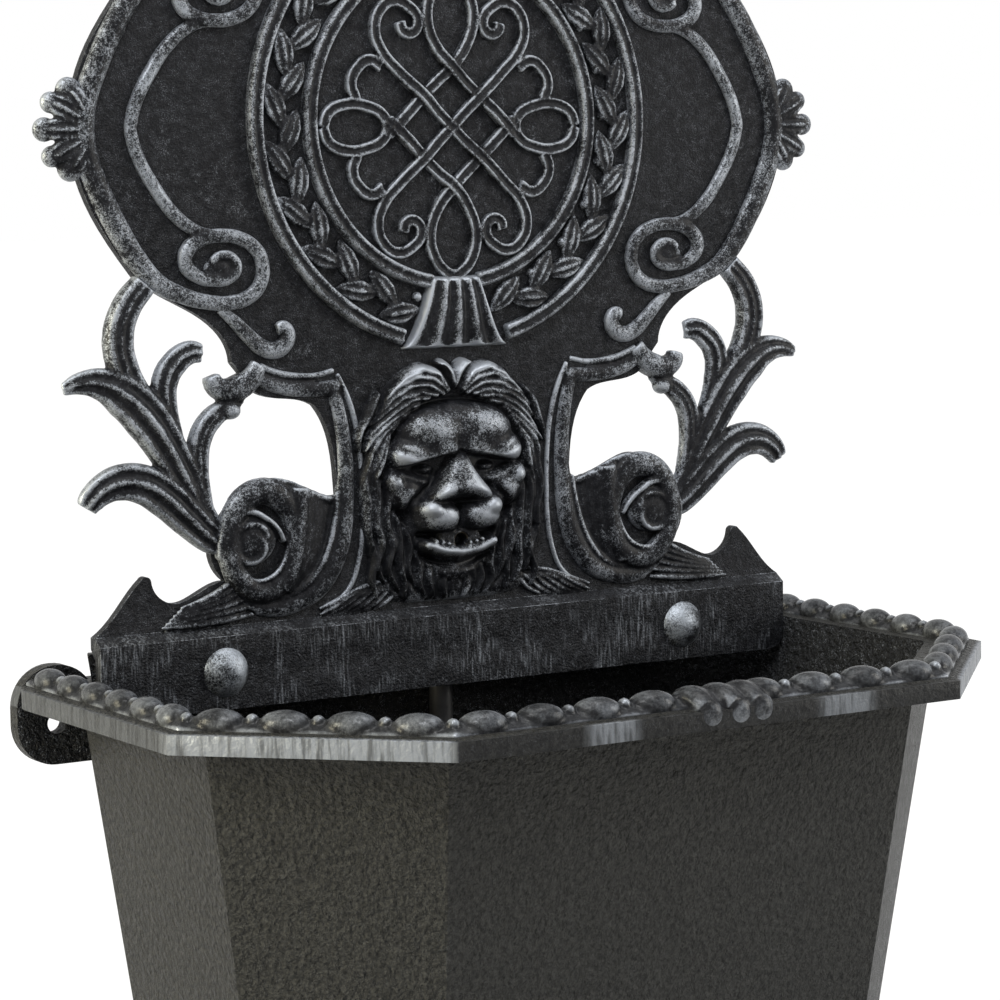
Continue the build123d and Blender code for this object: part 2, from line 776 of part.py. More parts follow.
def make_elbow():
    leg = elbow_diameter / 2 + socket_depth + riser_bore / 2
    low = (mask_x, riser_y, mouth_z - leg)
    high = (mask_x, riser_y, mouth_z + elbow_diameter / 2)
    face = (mask_x, -plate_back + seal_thickness, mouth_z)
    body = rod(elbow_diameter, low, high) + rod(elbow_diameter, (mask_x, riser_y, mouth_z), face)
    spout_seat = (mask_x, riser_y - spout_bore / 2, mouth_z)
    body -= rod(spout_diameter + 2 * fit_clearance, spout_seat, face)
    body -= rod(spout_bore, (mask_x, riser_y, mouth_z), face)
    body -= rod(riser_bore, low, (mask_x, riser_y, mouth_z))
    return body - rod(riser_diameter + 2 * fit_clearance, low, (mask_x, riser_y, mouth_z - leg + socket_depth))


def make_riser():
    leg = elbow_diameter / 2 + riser_bore / 2
    top = mouth_z - leg
    foot = pump_top + nozzle_length
    run = abs(pump_y - riser_y)
    low_bend = foot + coupling_length / 2 + riser_bend / 2
    path = FilletPolyline(
        (mask_x, pump_y, foot),
        (mask_x, pump_y, low_bend),
        (mask_x, riser_y, low_bend + run),
        (mask_x, riser_y, top),
        radius=riser_bend,
    )
    start = Plane(origin=(mask_x, pump_y, foot), z_dir=(0, 0, 1))
    outer = sweep(start * Circle(riser_diameter / 2), path=path)
    return outer - sweep(start * Circle(riser_bore / 2), path=path)


def make_coupling():
    """The rubber sleeve that joins the riser to the pump's nozzle."""
    joint = pump_top + nozzle_length
    low = (mask_x, pump_y, joint - coupling_length / 2)
    high = (mask_x, pump_y, joint + coupling_length / 2)
    middle = (mask_x, pump_y, joint)
    sleeve = rod(coupling_diameter, low, high) - rod(nozzle_diameter + 2 * fit_clearance, low, middle)
    return sleeve - rod(riser_diameter + 2 * fit_clearance, middle, high)


# Pump


def along(x):
    return (x, pump_y, pump_axis_z)


pump_span_y = (pump_y - pump_width / 2, pump_y + pump_width / 2)
pump_span_z = (pump_bottom, pump_top)
chamber_end = cover_x - chamber_length
volute_end = cover_x + volute_length
cover_end = cover_x + cover_length
strainer_end = cover_end + strainer_length


def make_pump_motor():
    body = block((motor_x, cover_x), pump_span_y, pump_span_z)
    body -= rod(chamber_diameter, along(chamber_end), along(cover_x))
    body -= rod(bush_diameter, along(chamber_end - bush_length), along(chamber_end))
    seal_outer = volute_diameter + 2 * seal_ring_width
    groove = rod(seal_outer, along(cover_x - seal_ring_depth), along(cover_x))
    body -= groove - rod(volute_diameter, along(cover_x - seal_ring_depth), along(cover_x))
    gland_z = pump_top - gland_diameter
    return body - rod(gland_diameter / 2, (motor_x, pump_y, gland_z), (motor_x + gland_length / 2, pump_y, gland_z))


def make_cable_gland():
    z = pump_top - gland_diameter
    sleeve = rod(gland_diameter, (motor_x - gland_length, pump_y, z), (motor_x, pump_y, z))
    plug = rod(gland_diameter / 2 - 2 * fit_clearance, (motor_x, pump_y, z), (motor_x + gland_length / 2, pump_y, z))
    mouth = rod(gland_bore, (motor_x - gland_length, pump_y, z), (motor_x - gland_length / 2, pump_y, z))
    return sleeve + plug - mouth


def make_pump_seal():
    outer = volute_diameter + 2 * seal_ring_width
    ring = rod(outer - 2 * fit_clearance, along(cover_x - seal_ring_depth), along(cover_x))
    return ring - rod(volute_diameter + 2 * fit_clearance, along(cover_x - seal_ring_depth), along(cover_x))


def make_pump_cover():
    body = block((cover_x, cover_end), pump_span_y, pump_span_z)
    body -= rod(volute_diameter, along(cover_x), along(volute_end))
    ring = rod(inlet_diameter, along(volute_end), along(cover_end))
    spider = rod(bush_diameter + 2 * blade_thickness, along(volute_end), along(cover_end))
    bars = block(
        (volute_end, cover_end),
        (pump_y - inlet_diameter / 2, pump_y + inlet_diameter / 2),
        (pump_axis_z - blade_thickness / 2, pump_axis_z + blade_thickness / 2),
    )
    body = body - ring + (bars & ring) + spider
    body -= rod(bush_diameter, along(volute_end), along(volute_end + bush_length))
    nozzle_foot = (mask_x, pump_y, pump_top)
    nozzle_top = (mask_x, pump_y, pump_top + nozzle_length)
    bore_foot = (mask_x, pump_y, pump_axis_z + volute_diameter / 2 - blade_thickness)
    nozzle = rod(nozzle_diameter, nozzle_foot, nozzle_top)
    body = body + nozzle - rod(riser_bore, bore_foot, nozzle_top)
    dial_hole = dial_stem_diameter + 2 * dial_clearance
    low, high = dial_ends()
    return body - rod(dial_hole, low, high)


def dial_ends():
    """Foot and seat of the flow dial's stem, in the cover's top."""
    y = pump_y - dial_offset
    return (mask_x, y, pump_top - dial_stem_length), (mask_x, y, pump_top)


def make_flow_dial():
    low, seat = dial_ends()
    top = (seat[0], seat[1], seat[2] + dial_thickness)
    grip = block(
        (seat[0] - dial_grip / 2, seat[0] + dial_grip / 2),
        (seat[1] - dial_diameter * 0.4, seat[1] + dial_diameter * 0.4),
        (top[2], top[2] + dial_grip),
    )
    return rod(dial_stem_diameter, low, seat) + rod(dial_diameter, seat, top) + grip


def make_strainer():
    body = block((cover_end, strainer_end), pump_span_y, pump_span_z)
    room = strainer_length / 2
    inner_y = (pump_span_y[0] + slot_margin, pump_span_y[1] - slot_margin)
    inner_z = (pump_span_z[0] + slot_margin, pump_span_z[1] - slot_margin)
    body -= block((cover_end, cover_end + room), inner_y, inner_z)
    pitch = (inner_y[1] - inner_y[0]) / slot_count
    for index in range(slot_count):
        middle = inner_y[0] + pitch * (index + 0.5)
        body -= block((cover_end, strainer_end), (middle - slot_width / 2, middle + slot_width / 2), inner_z)
    return body


def make_impeller():
    start = chamber_end + running_gap
    rotor = rod(rotor_diameter, along(start), along(start + rotor_length))
    blade_start = cover_x + running_gap
    hub = rod(hub_diameter, along(start + rotor_length), along(blade_start + blade_length))
    disc = rod(blade_diameter, along(blade_start), along(blade_start + blade_thickness))
    wheel = rotor + hub + disc
    for index in range(blade_count):
        vane = Pos(0, 0, blade_diameter / 4) * Box(blade_length, blade_thickness, blade_diameter / 2 - 0.4)
        place = Pos(blade_start + blade_length / 2, pump_y, pump_axis_z) * Rot(X=360 / blade_count * index)
        wheel += place * vane
    hole = shaft_diameter + 2 * shaft_clearance
    return wheel - rod(hole, along(start), along(blade_start + blade_length))


def make_bush(start):
    ring = rod(bush_diameter, along(start), along(start + bush_length))
    return ring - rod(shaft_diameter, along(start), along(start + bush_length))


def make_feet():
    feet = []
    for x in (motor_x + foot_inset, cover_x - foot_inset):
        for y in (pump_span_y[0] + foot_inset, pump_span_y[1] - foot_inset):
            cup = Cone(foot_diameter / 2, foot_diameter / 3, foot_height)
            feet.append(Pos(x, y, floor_top + foot_height / 2) * cup)
    return feet


def make_drain_plug():
    stem_foot = (drain_x, -drain_setback, trough_bottom)
    seat = (drain_x, -drain_setback, floor_top)
    rim = (drain_x, -drain_setback, floor_top + plug_flange_height)
    knob = (drain_x, -drain_setback, floor_top + plug_flange_height + plug_knob_height)
    stem = rod(drain_diameter - 2 * plug_clearance, stem_foot, seat)
    return stem + rod(plug_flange_diameter, seat, rim) + rod(plug_knob_diameter, rim, knob)


def mirrored(shape):
    if isinstance(shape, list):
        return [mirror(one, about=Plane.YZ) for one in shape]
    return mirror(shape, about=Plane.YZ)


bolts, washers, nuts = make_bolts()
scroll = make_scroll()
strap = make_strap()
spray = make_spray()
cluster = make_cluster()
foot_leaf = make_foot_leaf()

nodes = {
    "trough": make_trough(),
    "rim_bead": make_rim_bead(),
    "back_plate": make_back_plate(),
    "right_scroll": scroll,
    "left_scroll": mirrored(scroll),
    "right_strap": strap,
    "left_strap": mirrored(strap),
    "right_leaf_spray": spray,
    "left_leaf_spray": mirrored(spray),
    "right_berry_cluster": cluster,
    "left_berry_cluster": mirrored(cluster),
    "right_foot_leaf": foot_leaf,
    "left_foot_leaf": mirrored(foot_leaf),
    "medallion_outer_ring": make_ring(ring_outer_radius),
    "medallion_inner_ring": make_ring(ring_inner_radius),
    "medallion_knot": make_knot(),
    "medallion_wreath": make_wreath(),
    "medallion_tie": make_tie(),
    "crest": make_crest(),
    "lion_mask": make_mask(),
    "plate_bolts": bolts,
    "bolt_washers": washers,
    "bolt_nuts": nuts,
    "spout_tube": make_spout(),
    "spout_seal": make_spout_seal(),
    "spout_elbow": make_elbow(),
    "riser_pipe": make_riser(),
    "riser_coupling": make_coupling(),
    "pump_motor": make_pump_motor(),
    "pump_cover": make_pump_cover(),
    "pump_seal": make_pump_seal(),
    "pump_strainer": make_strainer(),
    "pump_impeller": make_impeller(),
    "impeller_shaft": rod(shaft_diameter, along(chamber_end - bush_length), along(volute_end + bush_length)),
    "rear_shaft_bush": make_bush(chamber_end - bush_length),
    "front_shaft_bush": make_bush(volute_end),
    "flow_dial": make_flow_dial(),
    "pump_feet": make_feet(),
    "cable_gland": make_cable_gland(),
    "drain_plug": make_drain_plug(),
}

os.makedirs("parts", exist_ok=True)
for name, shape in nodes.items():
    solids = shape if isinstance(shape, list) else [shape]
    whole = Compound(children=[solid for one in solids for solid in one.solids()])
    export_step(whole, f"parts/{name}.step")
    print(name, len(whole.solids()), round(whole.volume))
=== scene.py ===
import math

import bmesh
import bpy
import numpy as np
from mathutils import Matrix, Vector


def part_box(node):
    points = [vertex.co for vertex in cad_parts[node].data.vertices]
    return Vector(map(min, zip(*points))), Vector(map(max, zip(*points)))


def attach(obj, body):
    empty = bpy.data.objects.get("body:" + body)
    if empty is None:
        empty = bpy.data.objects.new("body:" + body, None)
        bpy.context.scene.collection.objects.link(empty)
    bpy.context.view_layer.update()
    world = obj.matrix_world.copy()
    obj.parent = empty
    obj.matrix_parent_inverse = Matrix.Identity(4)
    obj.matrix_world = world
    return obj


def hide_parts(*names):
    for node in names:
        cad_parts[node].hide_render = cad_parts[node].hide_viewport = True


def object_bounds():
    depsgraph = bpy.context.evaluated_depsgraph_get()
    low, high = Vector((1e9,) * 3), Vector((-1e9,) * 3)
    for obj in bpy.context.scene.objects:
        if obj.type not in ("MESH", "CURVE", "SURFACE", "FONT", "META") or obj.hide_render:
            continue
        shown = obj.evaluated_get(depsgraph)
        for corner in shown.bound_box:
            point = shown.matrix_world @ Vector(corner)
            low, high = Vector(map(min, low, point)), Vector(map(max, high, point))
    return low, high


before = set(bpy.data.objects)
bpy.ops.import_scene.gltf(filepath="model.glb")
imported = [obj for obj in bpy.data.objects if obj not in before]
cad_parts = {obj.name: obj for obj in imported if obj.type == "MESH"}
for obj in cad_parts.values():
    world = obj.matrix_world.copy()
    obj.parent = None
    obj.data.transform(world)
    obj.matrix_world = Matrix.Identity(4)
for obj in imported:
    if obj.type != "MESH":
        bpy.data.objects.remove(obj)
cadLow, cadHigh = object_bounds()
mm = 0.001


def middleOf(node):
    low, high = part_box(node)
    return (low + high) / 2


# The plate's bench space: x along the wall, y up from the ledge, z out of the field, all in mm
mouthAboveLedge = 28
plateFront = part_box("right_scroll")[1].y
ledgeZ = middleOf("spout_tube").z - mouthAboveLedge * mm
plateSpace = Matrix(((mm, 0, 0, 0), (0, 0, -mm, plateFront), (0, mm, 0, ledgeZ), (0, 0, 0, 1)))
waist = (middleOf("right_scroll").z - ledgeZ) / mm
medallion = (middleOf("medallion_knot").z - ledgeZ) / mm
print("frame loaded, waist at", round(waist, 1), "medallion at", round(medallion, 1))


# Shader nodes

def startFinish(name):
    material = bpy.data.materials.new(name)
    material.use_nodes = True
    tree = material.node_tree
    shader = tree.nodes["Principled BSDF"]
    coords = tree.nodes.new("ShaderNodeTexCoord")
    return material, tree, shader, coords.outputs["Object"]


def noiseOn(tree, vector, scale, detail=3, stretch=None):
    if stretch:
        mapping = tree.nodes.new("ShaderNodeMapping")
        mapping.inputs["Scale"].default_value = stretch
        tree.links.new(vector, mapping.inputs["Vector"])
        vector = mapping.outputs["Vector"]
    noise = tree.nodes.new("ShaderNodeTexNoise")
    noise.inputs["Scale"].default_value = scale
    noise.inputs["Detail"].default_value = detail
    tree.links.new(vector, noise.inputs["Vector"])
    return noise.outputs["Fac"]


def spread(tree, value, low, high, toLow=0.0, toHigh=1.0):
    ramp = tree.nodes.new("ShaderNodeMapRange")
    ramp.interpolation_type = "SMOOTHSTEP"
    for key, number in (("From Min", low), ("From Max", high), ("To Min", toLow), ("To Max", toHigh)):
        ramp.inputs[key].default_value = number
    tree.links.new(value, ramp.inputs["Value"])
    return ramp.outputs["Result"]


def mathOf(tree, operation, first, second):
    step = tree.nodes.new("ShaderNodeMath")
    step.operation = operation
    for socket, value in zip(step.inputs, (first, second)):
        if isinstance(value, (int, float)):
            socket.default_value = value
        else:
            tree.links.new(value, socket)
    return step.outputs[0]


def times(tree, *values):
    product = values[0]
    for value in values[1:]:
        product = mathOf(tree, "MULTIPLY", product, value)
    return product


def blendColours(tree, share, first, second):
    mix = tree.nodes.new("ShaderNodeMix")
    mix.data_type = "RGBA"
    tree.links.new(share, mix.inputs["Factor"])
    for socket, value in ((mix.inputs[6], first), (mix.inputs[7], second)):
        if isinstance(value, tuple):
            socket.default_value = (*value, 1)
        else:
            tree.links.new(value, socket)
    return mix.outputs[2]


def bumpOn(tree, shader, height, strength, distance):
    bump = tree.nodes.new("ShaderNodeBump")
    bump.inputs["Strength"].default_value = strength
    bump.inputs["Distance"].default_value = distance
    tree.links.new(height, bump.inputs["Height"])
    tree.links.new(bump.outputs["Normal"], shader.inputs["Normal"])


def attributeOn(tree, name):
    layer = tree.nodes.new("ShaderNodeAttribute")
    layer.attribute_name = name
    return layer.outputs["Fac"]


def axesOf(tree, coords):
    parts = tree.nodes.new("ShaderNodeSeparateXYZ")
    tree.links.new(coords, parts.inputs[0])
    return (parts.outputs[axis] for axis in "XYZ")


# Camera, at the photograph's angle

cameraSetup = {
    "place": (-0.7374, -1.2288, 0.2244),
    "right": (0.8436, -0.5368, -0.0141),
    "down": (-0.0661, -0.0778, -0.9948),
    "forward": (0.5329, 0.8401, -0.1012),
    "focalPixels": 3301,
    "imagePixels": 1000,
    "sensor": 36,
}


def makeCamera(setup):
    data = bpy.data.cameras.new("camera")
    data.sensor_width = setup["sensor"]
    data.lens = setup["focalPixels"] * setup["sensor"] / setup["imagePixels"]
    camera = bpy.data.objects.new("camera", data)
    bpy.context.scene.collection.objects.link(camera)
    right, down, forward = (Vector(setup[key]).normalized() for key in ("right", "down", "forward"))
    turn = Matrix((right, -down, -forward)).transposed().to_4x4()
    camera.matrix_world = Matrix.Translation(setup["place"]) @ turn
    bpy.context.scene.camera = camera


makeCamera(cameraSetup)


# Studio: soft lamps, pale floor, white to the eye and to reflections

studio = {
    "floorSize": 30.0,
    "floorColour": (0.86, 0.86, 0.85),
    "floorGlow": 1.08,
    "glowShare": 0.92,
    "fill": 0.3,
    "lamps": [
        # name, place, aim, width, height, watts, tint
        ("keyLamp", (-0.9, -1.3, 1.9), (0, 0, 0.15), 0.75, 0.75, 42, (1, 1, 1)),
        ("topLamp", (0.4, -0.4, 1.8), (0, -0.05, 0.1), 1.0, 0.8, 20, (1, 1, 1)),
        ("leftLamp", (-1.8, 0.1, 0.5), (-0.1, -0.05, 0.05), 0.6, 1.0, 60, (1, 0.92, 0.68)),
        ("rightLamp", (1.6, -1.0, 0.6), (0, 0, 0.1), 0.6, 1.2, 24, (1, 0.97, 0.9)),
    ],
}


def seenDirectly(tree):
    # 1 for rays that the eye or a reflection sends out
    path = tree.nodes.new("ShaderNodeLightPath")
    total = path.outputs["Is Camera Ray"]
    for key in ("Is Glossy Ray", "Is Transmission Ray"):
        total = mathOf(tree, "MAXIMUM", total, path.outputs[key])
    return total


def makeWorld(setup):
    world = bpy.data.worlds.new("studio")
    bpy.context.scene.world = world
    world.use_nodes = True
    tree = world.node_tree
    back = tree.nodes["Background"]
    level = spread(tree, seenDirectly(tree), 0.0, 1.0, setup["fill"], 1.0)
    tree.links.new(level, back.inputs["Strength"])
    back.inputs["Color"].default_value = (1, 1, 1, 1)


def makeFloor(setup):
    material = bpy.data.materials.new("paleFloor")
    material.use_nodes = True
    tree = material.node_tree
    shader = tree.nodes["Principled BSDF"]
    shader.inputs["Base Color"].default_value = (*setup["floorColour"], 1)
    shader.inputs["Roughness"].default_value = 0.9
    glow = tree.nodes.new("ShaderNodeEmission")
    glow.inputs["Strength"].default_value = setup["floorGlow"]
    mix = tree.nodes.new("ShaderNodeMixShader")
    tree.links.new(times(tree, seenDirectly(tree), setup["glowShare"]), mix.inputs["Fac"])
    tree.links.new(shader.outputs[0], mix.inputs[1])
    tree.links.new(glow.outputs[0], mix.inputs[2])
    tree.links.new(mix.outputs[0], tree.nodes["Material Output"].inputs["Surface"])
    bm = bmesh.new()
    bmesh.ops.create_grid(bm, x_segments=2, y_segments=2, size=setup["floorSize"] / 2)
    bmesh.ops.translate(bm, verts=bm.verts, vec=(0, 0, cadLow.z))
    mesh = bpy.data.meshes.new("floor")
    bm.to_mesh(mesh)
    bm.free()
    mesh.materials.append(material)
    floor = bpy.data.objects.new("floor", mesh)
    bpy.context.scene.collection.objects.link(floor)


def makeLamps(setup):
    for name, place, aim, width, height, watts, tint in setup["lamps"]:
        data = bpy.data.lights.new(name, "AREA")
        data.shape = "RECTANGLE"
        data.size, data.size_y = width, height
        data.energy = watts
        data.color = tint
        lamp = bpy.data.objects.new(name, data)
        lamp.location = place
        lamp.rotation_euler = (Vector(aim) - Vector(place)).to_track_quat("-Z", "Y").to_euler()
        bpy.context.scene.collection.objects.link(lamp)


makeWorld(studio)
makeFloor(studio)
makeLamps(studio)
bpy.context.scene.view_settings.view_transform = "Standard"
print("studio ready")


# Finishes

castFinish = {
    "black": (0.0045, 0.0048, 0.006),
    "soot": (0.0095, 0.01, 0.012),
    "sooty": (0.87, 1.16),      # where the mottling turns from black to soot
    "silver": (0.225, 0.243, 0.272),
    "sheen": 0.5,               # how metallic the rubbed silver is
    "specular": 0.09,
    "roughness": (0.32, 0.48),
    "rubbed": (0.2, 1.1),       # where wear starts to show silver, and where it is whole
}
fieldFinish = dict(castFinish, rubbed=(0.36, 1.3))
troughFinish = dict(fieldFinish, black=(0.0115, 0.0117, 0.0112), soot=(0.034, 0.0343, 0.0328),
                    sooty=(0.72, 1.31))
rimFinish = dict(castFinish, black=(0.01, 0.0105, 0.012), soot=(0.02, 0.021, 0.023), roughness=(0.19, 0.35))
boltFinish = dict(castFinish, silver=(0.26, 0.285, 0.32), rubbed=(-0.6, 0.7))

fasciaRub = {
    # silver left on the rim's upright edge: whole on the canted sides, in patches on the front
    "low": 0.0082,
    "high": 0.0166,
    "cantedFrom": 0.1183,
    "patches": [(-0.05, 0.015, 0.7), (0.061, 0.017, 0.62)],     # x, half width, amount
    "backFrom": -0.15,          # y from which the silver thins out towards the wall
    "backTo": -0.135,
    "atBack": 0.25,
    "amount": 0.72,
    "blackened": 0.55,          # the black under the silver, and inside the trough
    "blackInside": 0.8,
    "lumpsLeft": 0.1,           # share of the casting's lumps on this edge
}


def fasciaShare(tree, coords, setup):
    # The band of the rim's upright edge outside the trough, and the silver on it
    x, y, z = axesOf(tree, coords)
    outside = mathOf(tree, "SUBTRACT", 1.0, attributeOn(tree, "inner"))
    band = times(tree, spread(tree, z, setup["low"] - 0.0004, setup["low"] + 0.0004),
                 spread(tree, z, setup["high"] - 0.0006, setup["high"], 1, 0), outside)
    away = mathOf(tree, "ABSOLUTE", x, 0)
    place = spread(tree, away, setup["cantedFrom"] - 0.001, setup["cantedFrom"] + 0.003)
    for middle, half, amount in setup["patches"]:
        off = mathOf(tree, "ABSOLUTE", mathOf(tree, "SUBTRACT", x, middle), 0)
        place = mathOf(tree, "MAXIMUM", place, spread(tree, off, half * 0.4, half, amount, 0))
    brush = spread(tree, noiseOn(tree, coords, 1, 3, (500, 500, 70)), 0.28, 0.6, 0.3, 1.0)
    back = spread(tree, y, setup["backFrom"], setup["backTo"], 1.0, setup["atBack"])
    return band, times(tree, band, place, brush, back, setup["amount"])


def makeCast(name, setup, streaks=0.0, flecks=0.2, grain=0.22, lumps=0.0, depth=0.0009, rub=1.0,
             speckle=0.3, smears=0.14, patch=0.2, fascia=None):
    # Black casting, silver rubbed over what stands proud; "worn" is measured on the mesh
    material, tree, shader, coords = startFinish(name)
    sand = noiseOn(tree, coords, 950, 4)
    specks = noiseOn(tree, coords, 2100, 3)
    smear = noiseOn(tree, coords, 300, 3)
    cloud = noiseOn(tree, coords, 70, 3)
    amount = times(tree, attributeOn(tree, "worn"), rub)
    for mottle, swing in ((specks, speckle), (sand, speckle * 0.7), (smear, smears), (cloud, patch)):
        amount = mathOf(tree, "ADD", amount, spread(tree, mottle, 0.3, 0.7, -swing, swing))
    share = spread(tree, amount, *setup["rubbed"])
    dust = times(tree, spread(tree, specks, 0.53, 0.74), spread(tree, smear, 0.4, 0.66, 0.15, 1.0))
    if fascia:
        flecks = spread(tree, attributeOn(tree, "inner"), 0.0, 1.0, flecks, 1.0)
    share = mathOf(tree, "MAXIMUM", share, times(tree, dust, flecks))
    if streaks:
        # brushed down the apron, below the ledge
        fine = spread(tree, noiseOn(tree, coords, 1, 4, (1050, 1050, 130)), 0.44, 0.74)
        broad = spread(tree, noiseOn(tree, coords, 1, 3, (70, 70, 46)), 0.42, 0.64, 0.04, 1.0)
        _, _, height = axesOf(tree, coords)
        below = spread(tree, height, ledgeZ - 0.001, ledgeZ + 0.0006, 1.0, 0.0)
        share = mathOf(tree, "MAXIMUM", share, times(tree, fine, broad, below, streaks))
    mottle = noiseOn(tree, coords, 1, 4, (560, 560, 420)) if fascia else smear
    sooty = spread(tree, mathOf(tree, "ADD", mottle, sand), *setup["sooty"])
    ground = blendColours(tree, sooty, setup["black"], setup["soot"])
    skin = mathOf(tree, "ADD", sand, times(tree, specks, 0.5))
    if lumps:
        skin = mathOf(tree, "ADD", skin, times(tree, noiseOn(tree, coords, 360, 3), lumps))
    if fascia:
        band, silvered = fasciaShare(tree, coords, fascia)
        share = mathOf(tree, "MAXIMUM", share, silvered)
        inside = times(tree, attributeOn(tree, "inner"), fascia["blackInside"])
        blackened = mathOf(tree, "MAXIMUM", times(tree, band, fascia["blackened"]), inside)
        ground = blendColours(tree, blackened, ground, castFinish["black"])
        level = mathOf(tree, "SUBTRACT", skin, 0.75 + lumps / 2)
        skin = times(tree, level, spread(tree, band, 0.0, 1.0, 1.0, fascia["lumpsLeft"]))
    tree.links.new(blendColours(tree, share, ground, setup["silver"]), shader.inputs["Base Color"])
    tree.links.new(times(tree, share, setup["sheen"]), shader.inputs["Metallic"])
    roughness = spread(tree, smear, 0.25, 0.75, *setup["roughness"])
    tree.links.new(roughness, shader.inputs["Roughness"])
    shader.inputs["Specular IOR Level"].default_value = setup["specular"]
    bumpOn(tree, shader, skin, grain, depth)
    return material


reliefMetal = makeCast("reliefMetal", castFinish)
maskMetal = makeCast("maskMetal", castFinish, patch=0.3)
fieldMetal = makeCast("fieldMetal", fieldFinish, flecks=0.46, streaks=0.55, grain=0.8, depth=0.0012,
                      patch=0.3)
troughMetal = makeCast("troughMetal", troughFinish, flecks=0.12, grain=0.9, lumps=3.0, depth=0.002, rub=0.5,
                       speckle=0.1, patch=0.3, fascia=fasciaRub)
boltSilver = makeCast("boltSilver", boltFinish, flecks=0.3, grain=0.3, lumps=1.0, patch=0.5)
rimMetal = makeCast("rimMetal", rimFinish, flecks=0.1, grain=0.12, rub=0.68, speckle=0.05, smears=0.05,
                    patch=0.1)


def makePlain(name, colour, roughness, metallic=0.0, grain=900, depth=0.25, shade=0.75):
    # Moulded or turned finish: one colour, clouded and grained
    material, tree, shader, coords = startFinish(name)
    cloud = noiseOn(tree, coords, 70, 3)
    fine = noiseOn(tree, coords, grain, 3)
    darker = tuple(part * shade for part in colour)
    tint = blendColours(tree, spread(tree, cloud, 0.3, 0.7), darker, colour)
    tree.links.new(tint, shader.inputs["Base Color"])
    dull = spread(tree, fine, 0.3, 0.7, roughness - 0.08, roughness + 0.08)
    tree.links.new(dull, shader.inputs["Roughness"])
    shader.inputs["Metallic"].default_value = metallic
    bumpOn(tree, shader, fine, depth, 0.0004)
    return material


zincSteel = makePlain("zincSteel", (0.52, 0.52, 0.5), 0.38, 0.9, 1500)
dullBrass = makePlain("dullBrass", (0.34, 0.22, 0.08), 0.42, 0.9, 1400)
tarnishShadeBrass = makePlain("tarnishShadeBrass", (0.03, 0.024, 0.014), 0.5, 0.6, 1400)      # tarnished where the water runs, and darkened further as painted shade so the tube's end reads as the dark of the mouth
groundSteel = makePlain("groundSteel", (0.66, 0.66, 0.67), 0.22, 1.0, 2200, 0.1)
blackRubber = makePlain("blackRubber", (0.02, 0.02, 0.021), 0.72)
blackPipe = makePlain("blackPipe", (0.018, 0.018, 0.02), 0.4, 0, 600, 0.15)
pumpBlack = makePlain("pumpBlack", (0.028, 0.029, 0.033), 0.5, 0, 1600, 0.4)
impellerPale = makePlain("impellerPale", (0.58, 0.58, 0.55), 0.45, 0, 1200, 0.15, 0.9)
dialBlue = makePlain("dialBlue", (0.045, 0.12, 0.3), 0.4, 0, 1200, 0.2, 0.85)
print("finishes mixed")


# Bench tools

profiles = {
    # across and out, in shares of the half width
    "round": [(-1, -0.7), (-1, 0.3), (-0.82, 0.68), (-0.45, 0.94), (0, 1.02), (0.45, 0.94), (0.82, 0.68),
              (1, 0.3), (1, -0.7)],
    "low": [(-1, -0.5), (-1, 0.1), (-0.8, 0.38), (-0.4, 0.56), (0, 0.62), (0.4, 0.56), (0.8, 0.38),
            (1, 0.1), (1, -0.5)],
    "double": [(-1, -0.7), (-1, 0.6), (-0.86, 0.95), (-0.66, 1.0), (-0.45, 0.78), (-0.2, 0.6), (0.2, 0.6),
               (0.45, 0.78), (0.66, 1.0), (0.86, 0.95), (1, 0.6), (1, -0.7)],
    "leaf": [(-0.96, -0.42), (-1, -0.05), (-0.9, 0.24), (-0.74, 0.36), (-0.56, 0.3), (-0.42, 0.22),
             (-0.28, 0.3), (-0.1, 0.47), (0, 0.5), (0.1, 0.47), (0.28, 0.3), (0.42, 0.22), (0.56, 0.3),
             (0.74, 0.36), (0.9, 0.24), (1, -0.05), (0.96, -0.42), (0.5, -0.3), (0, -0.25), (-0.5, -0.3)],
    "stem": [(-0.96, -0.55), (-1, 0.0), (-0.8, 0.42), (-0.52, 0.5), (-0.34, 0.36), (-0.14, 0.42), (0, 0.52),
             (0.14, 0.42), (0.34, 0.36), (0.52, 0.5), (0.8, 0.42), (1, 0.0), (0.96, -0.55)],
}


def removeHelper(thing):
    data = thing.data
    bpy.data.objects.remove(thing)
    (bpy.data.curves if isinstance(data, bpy.types.Curve) else bpy.data.meshes).remove(data)


def shapeOf(thing):
    bpy.context.view_layer.update()
    return bpy.data.meshes.new_from_object(thing.evaluated_get(bpy.context.evaluated_depsgraph_get()))


def sweepInto(bm, paths, profile, closed=False, steps=8):
    # Bands along smooth paths of (x, up, half width) or (x, up, half width, out)
    outline = bpy.data.curves.new("outline", "CURVE")
    outline.dimensions = "2D"
    line = outline.splines.new("POLY")
    line.points.add(len(profiles[profile]) - 1)
    for point, (across, out) in zip(line.points, profiles[profile]):
        point.co = (across, out, 0, 1)
    line.use_cyclic_u = True
    section = bpy.data.objects.new("outline", outline)
    guide = bpy.data.curves.new("guide", "CURVE")
    guide.dimensions = "3D"
    guide.twist_mode = "Z_UP"
    guide.bevel_mode = "OBJECT"
    guide.bevel_object = section
    guide.use_fill_caps = True
    guide.resolution_u = steps
    for path in paths:
        line = guide.splines.new("BEZIER")
        line.bezier_points.add(len(path) - 1)
        for knot, spot in zip(line.bezier_points, path):
            knot.co = (spot[0], spot[1], spot[3] if len(spot) > 3 else 0)
            knot.radius = spot[2]
            knot.handle_left_type = knot.handle_right_type = "AUTO"
        line.use_cyclic_u = closed
    run = bpy.data.objects.new("guide", guide)
    bpy.context.scene.collection.objects.link(run)
    mesh = shapeOf(run)
    bm.from_mesh(mesh)
    bpy.data.meshes.remove(mesh)
    removeHelper(run)
    removeHelper(section)


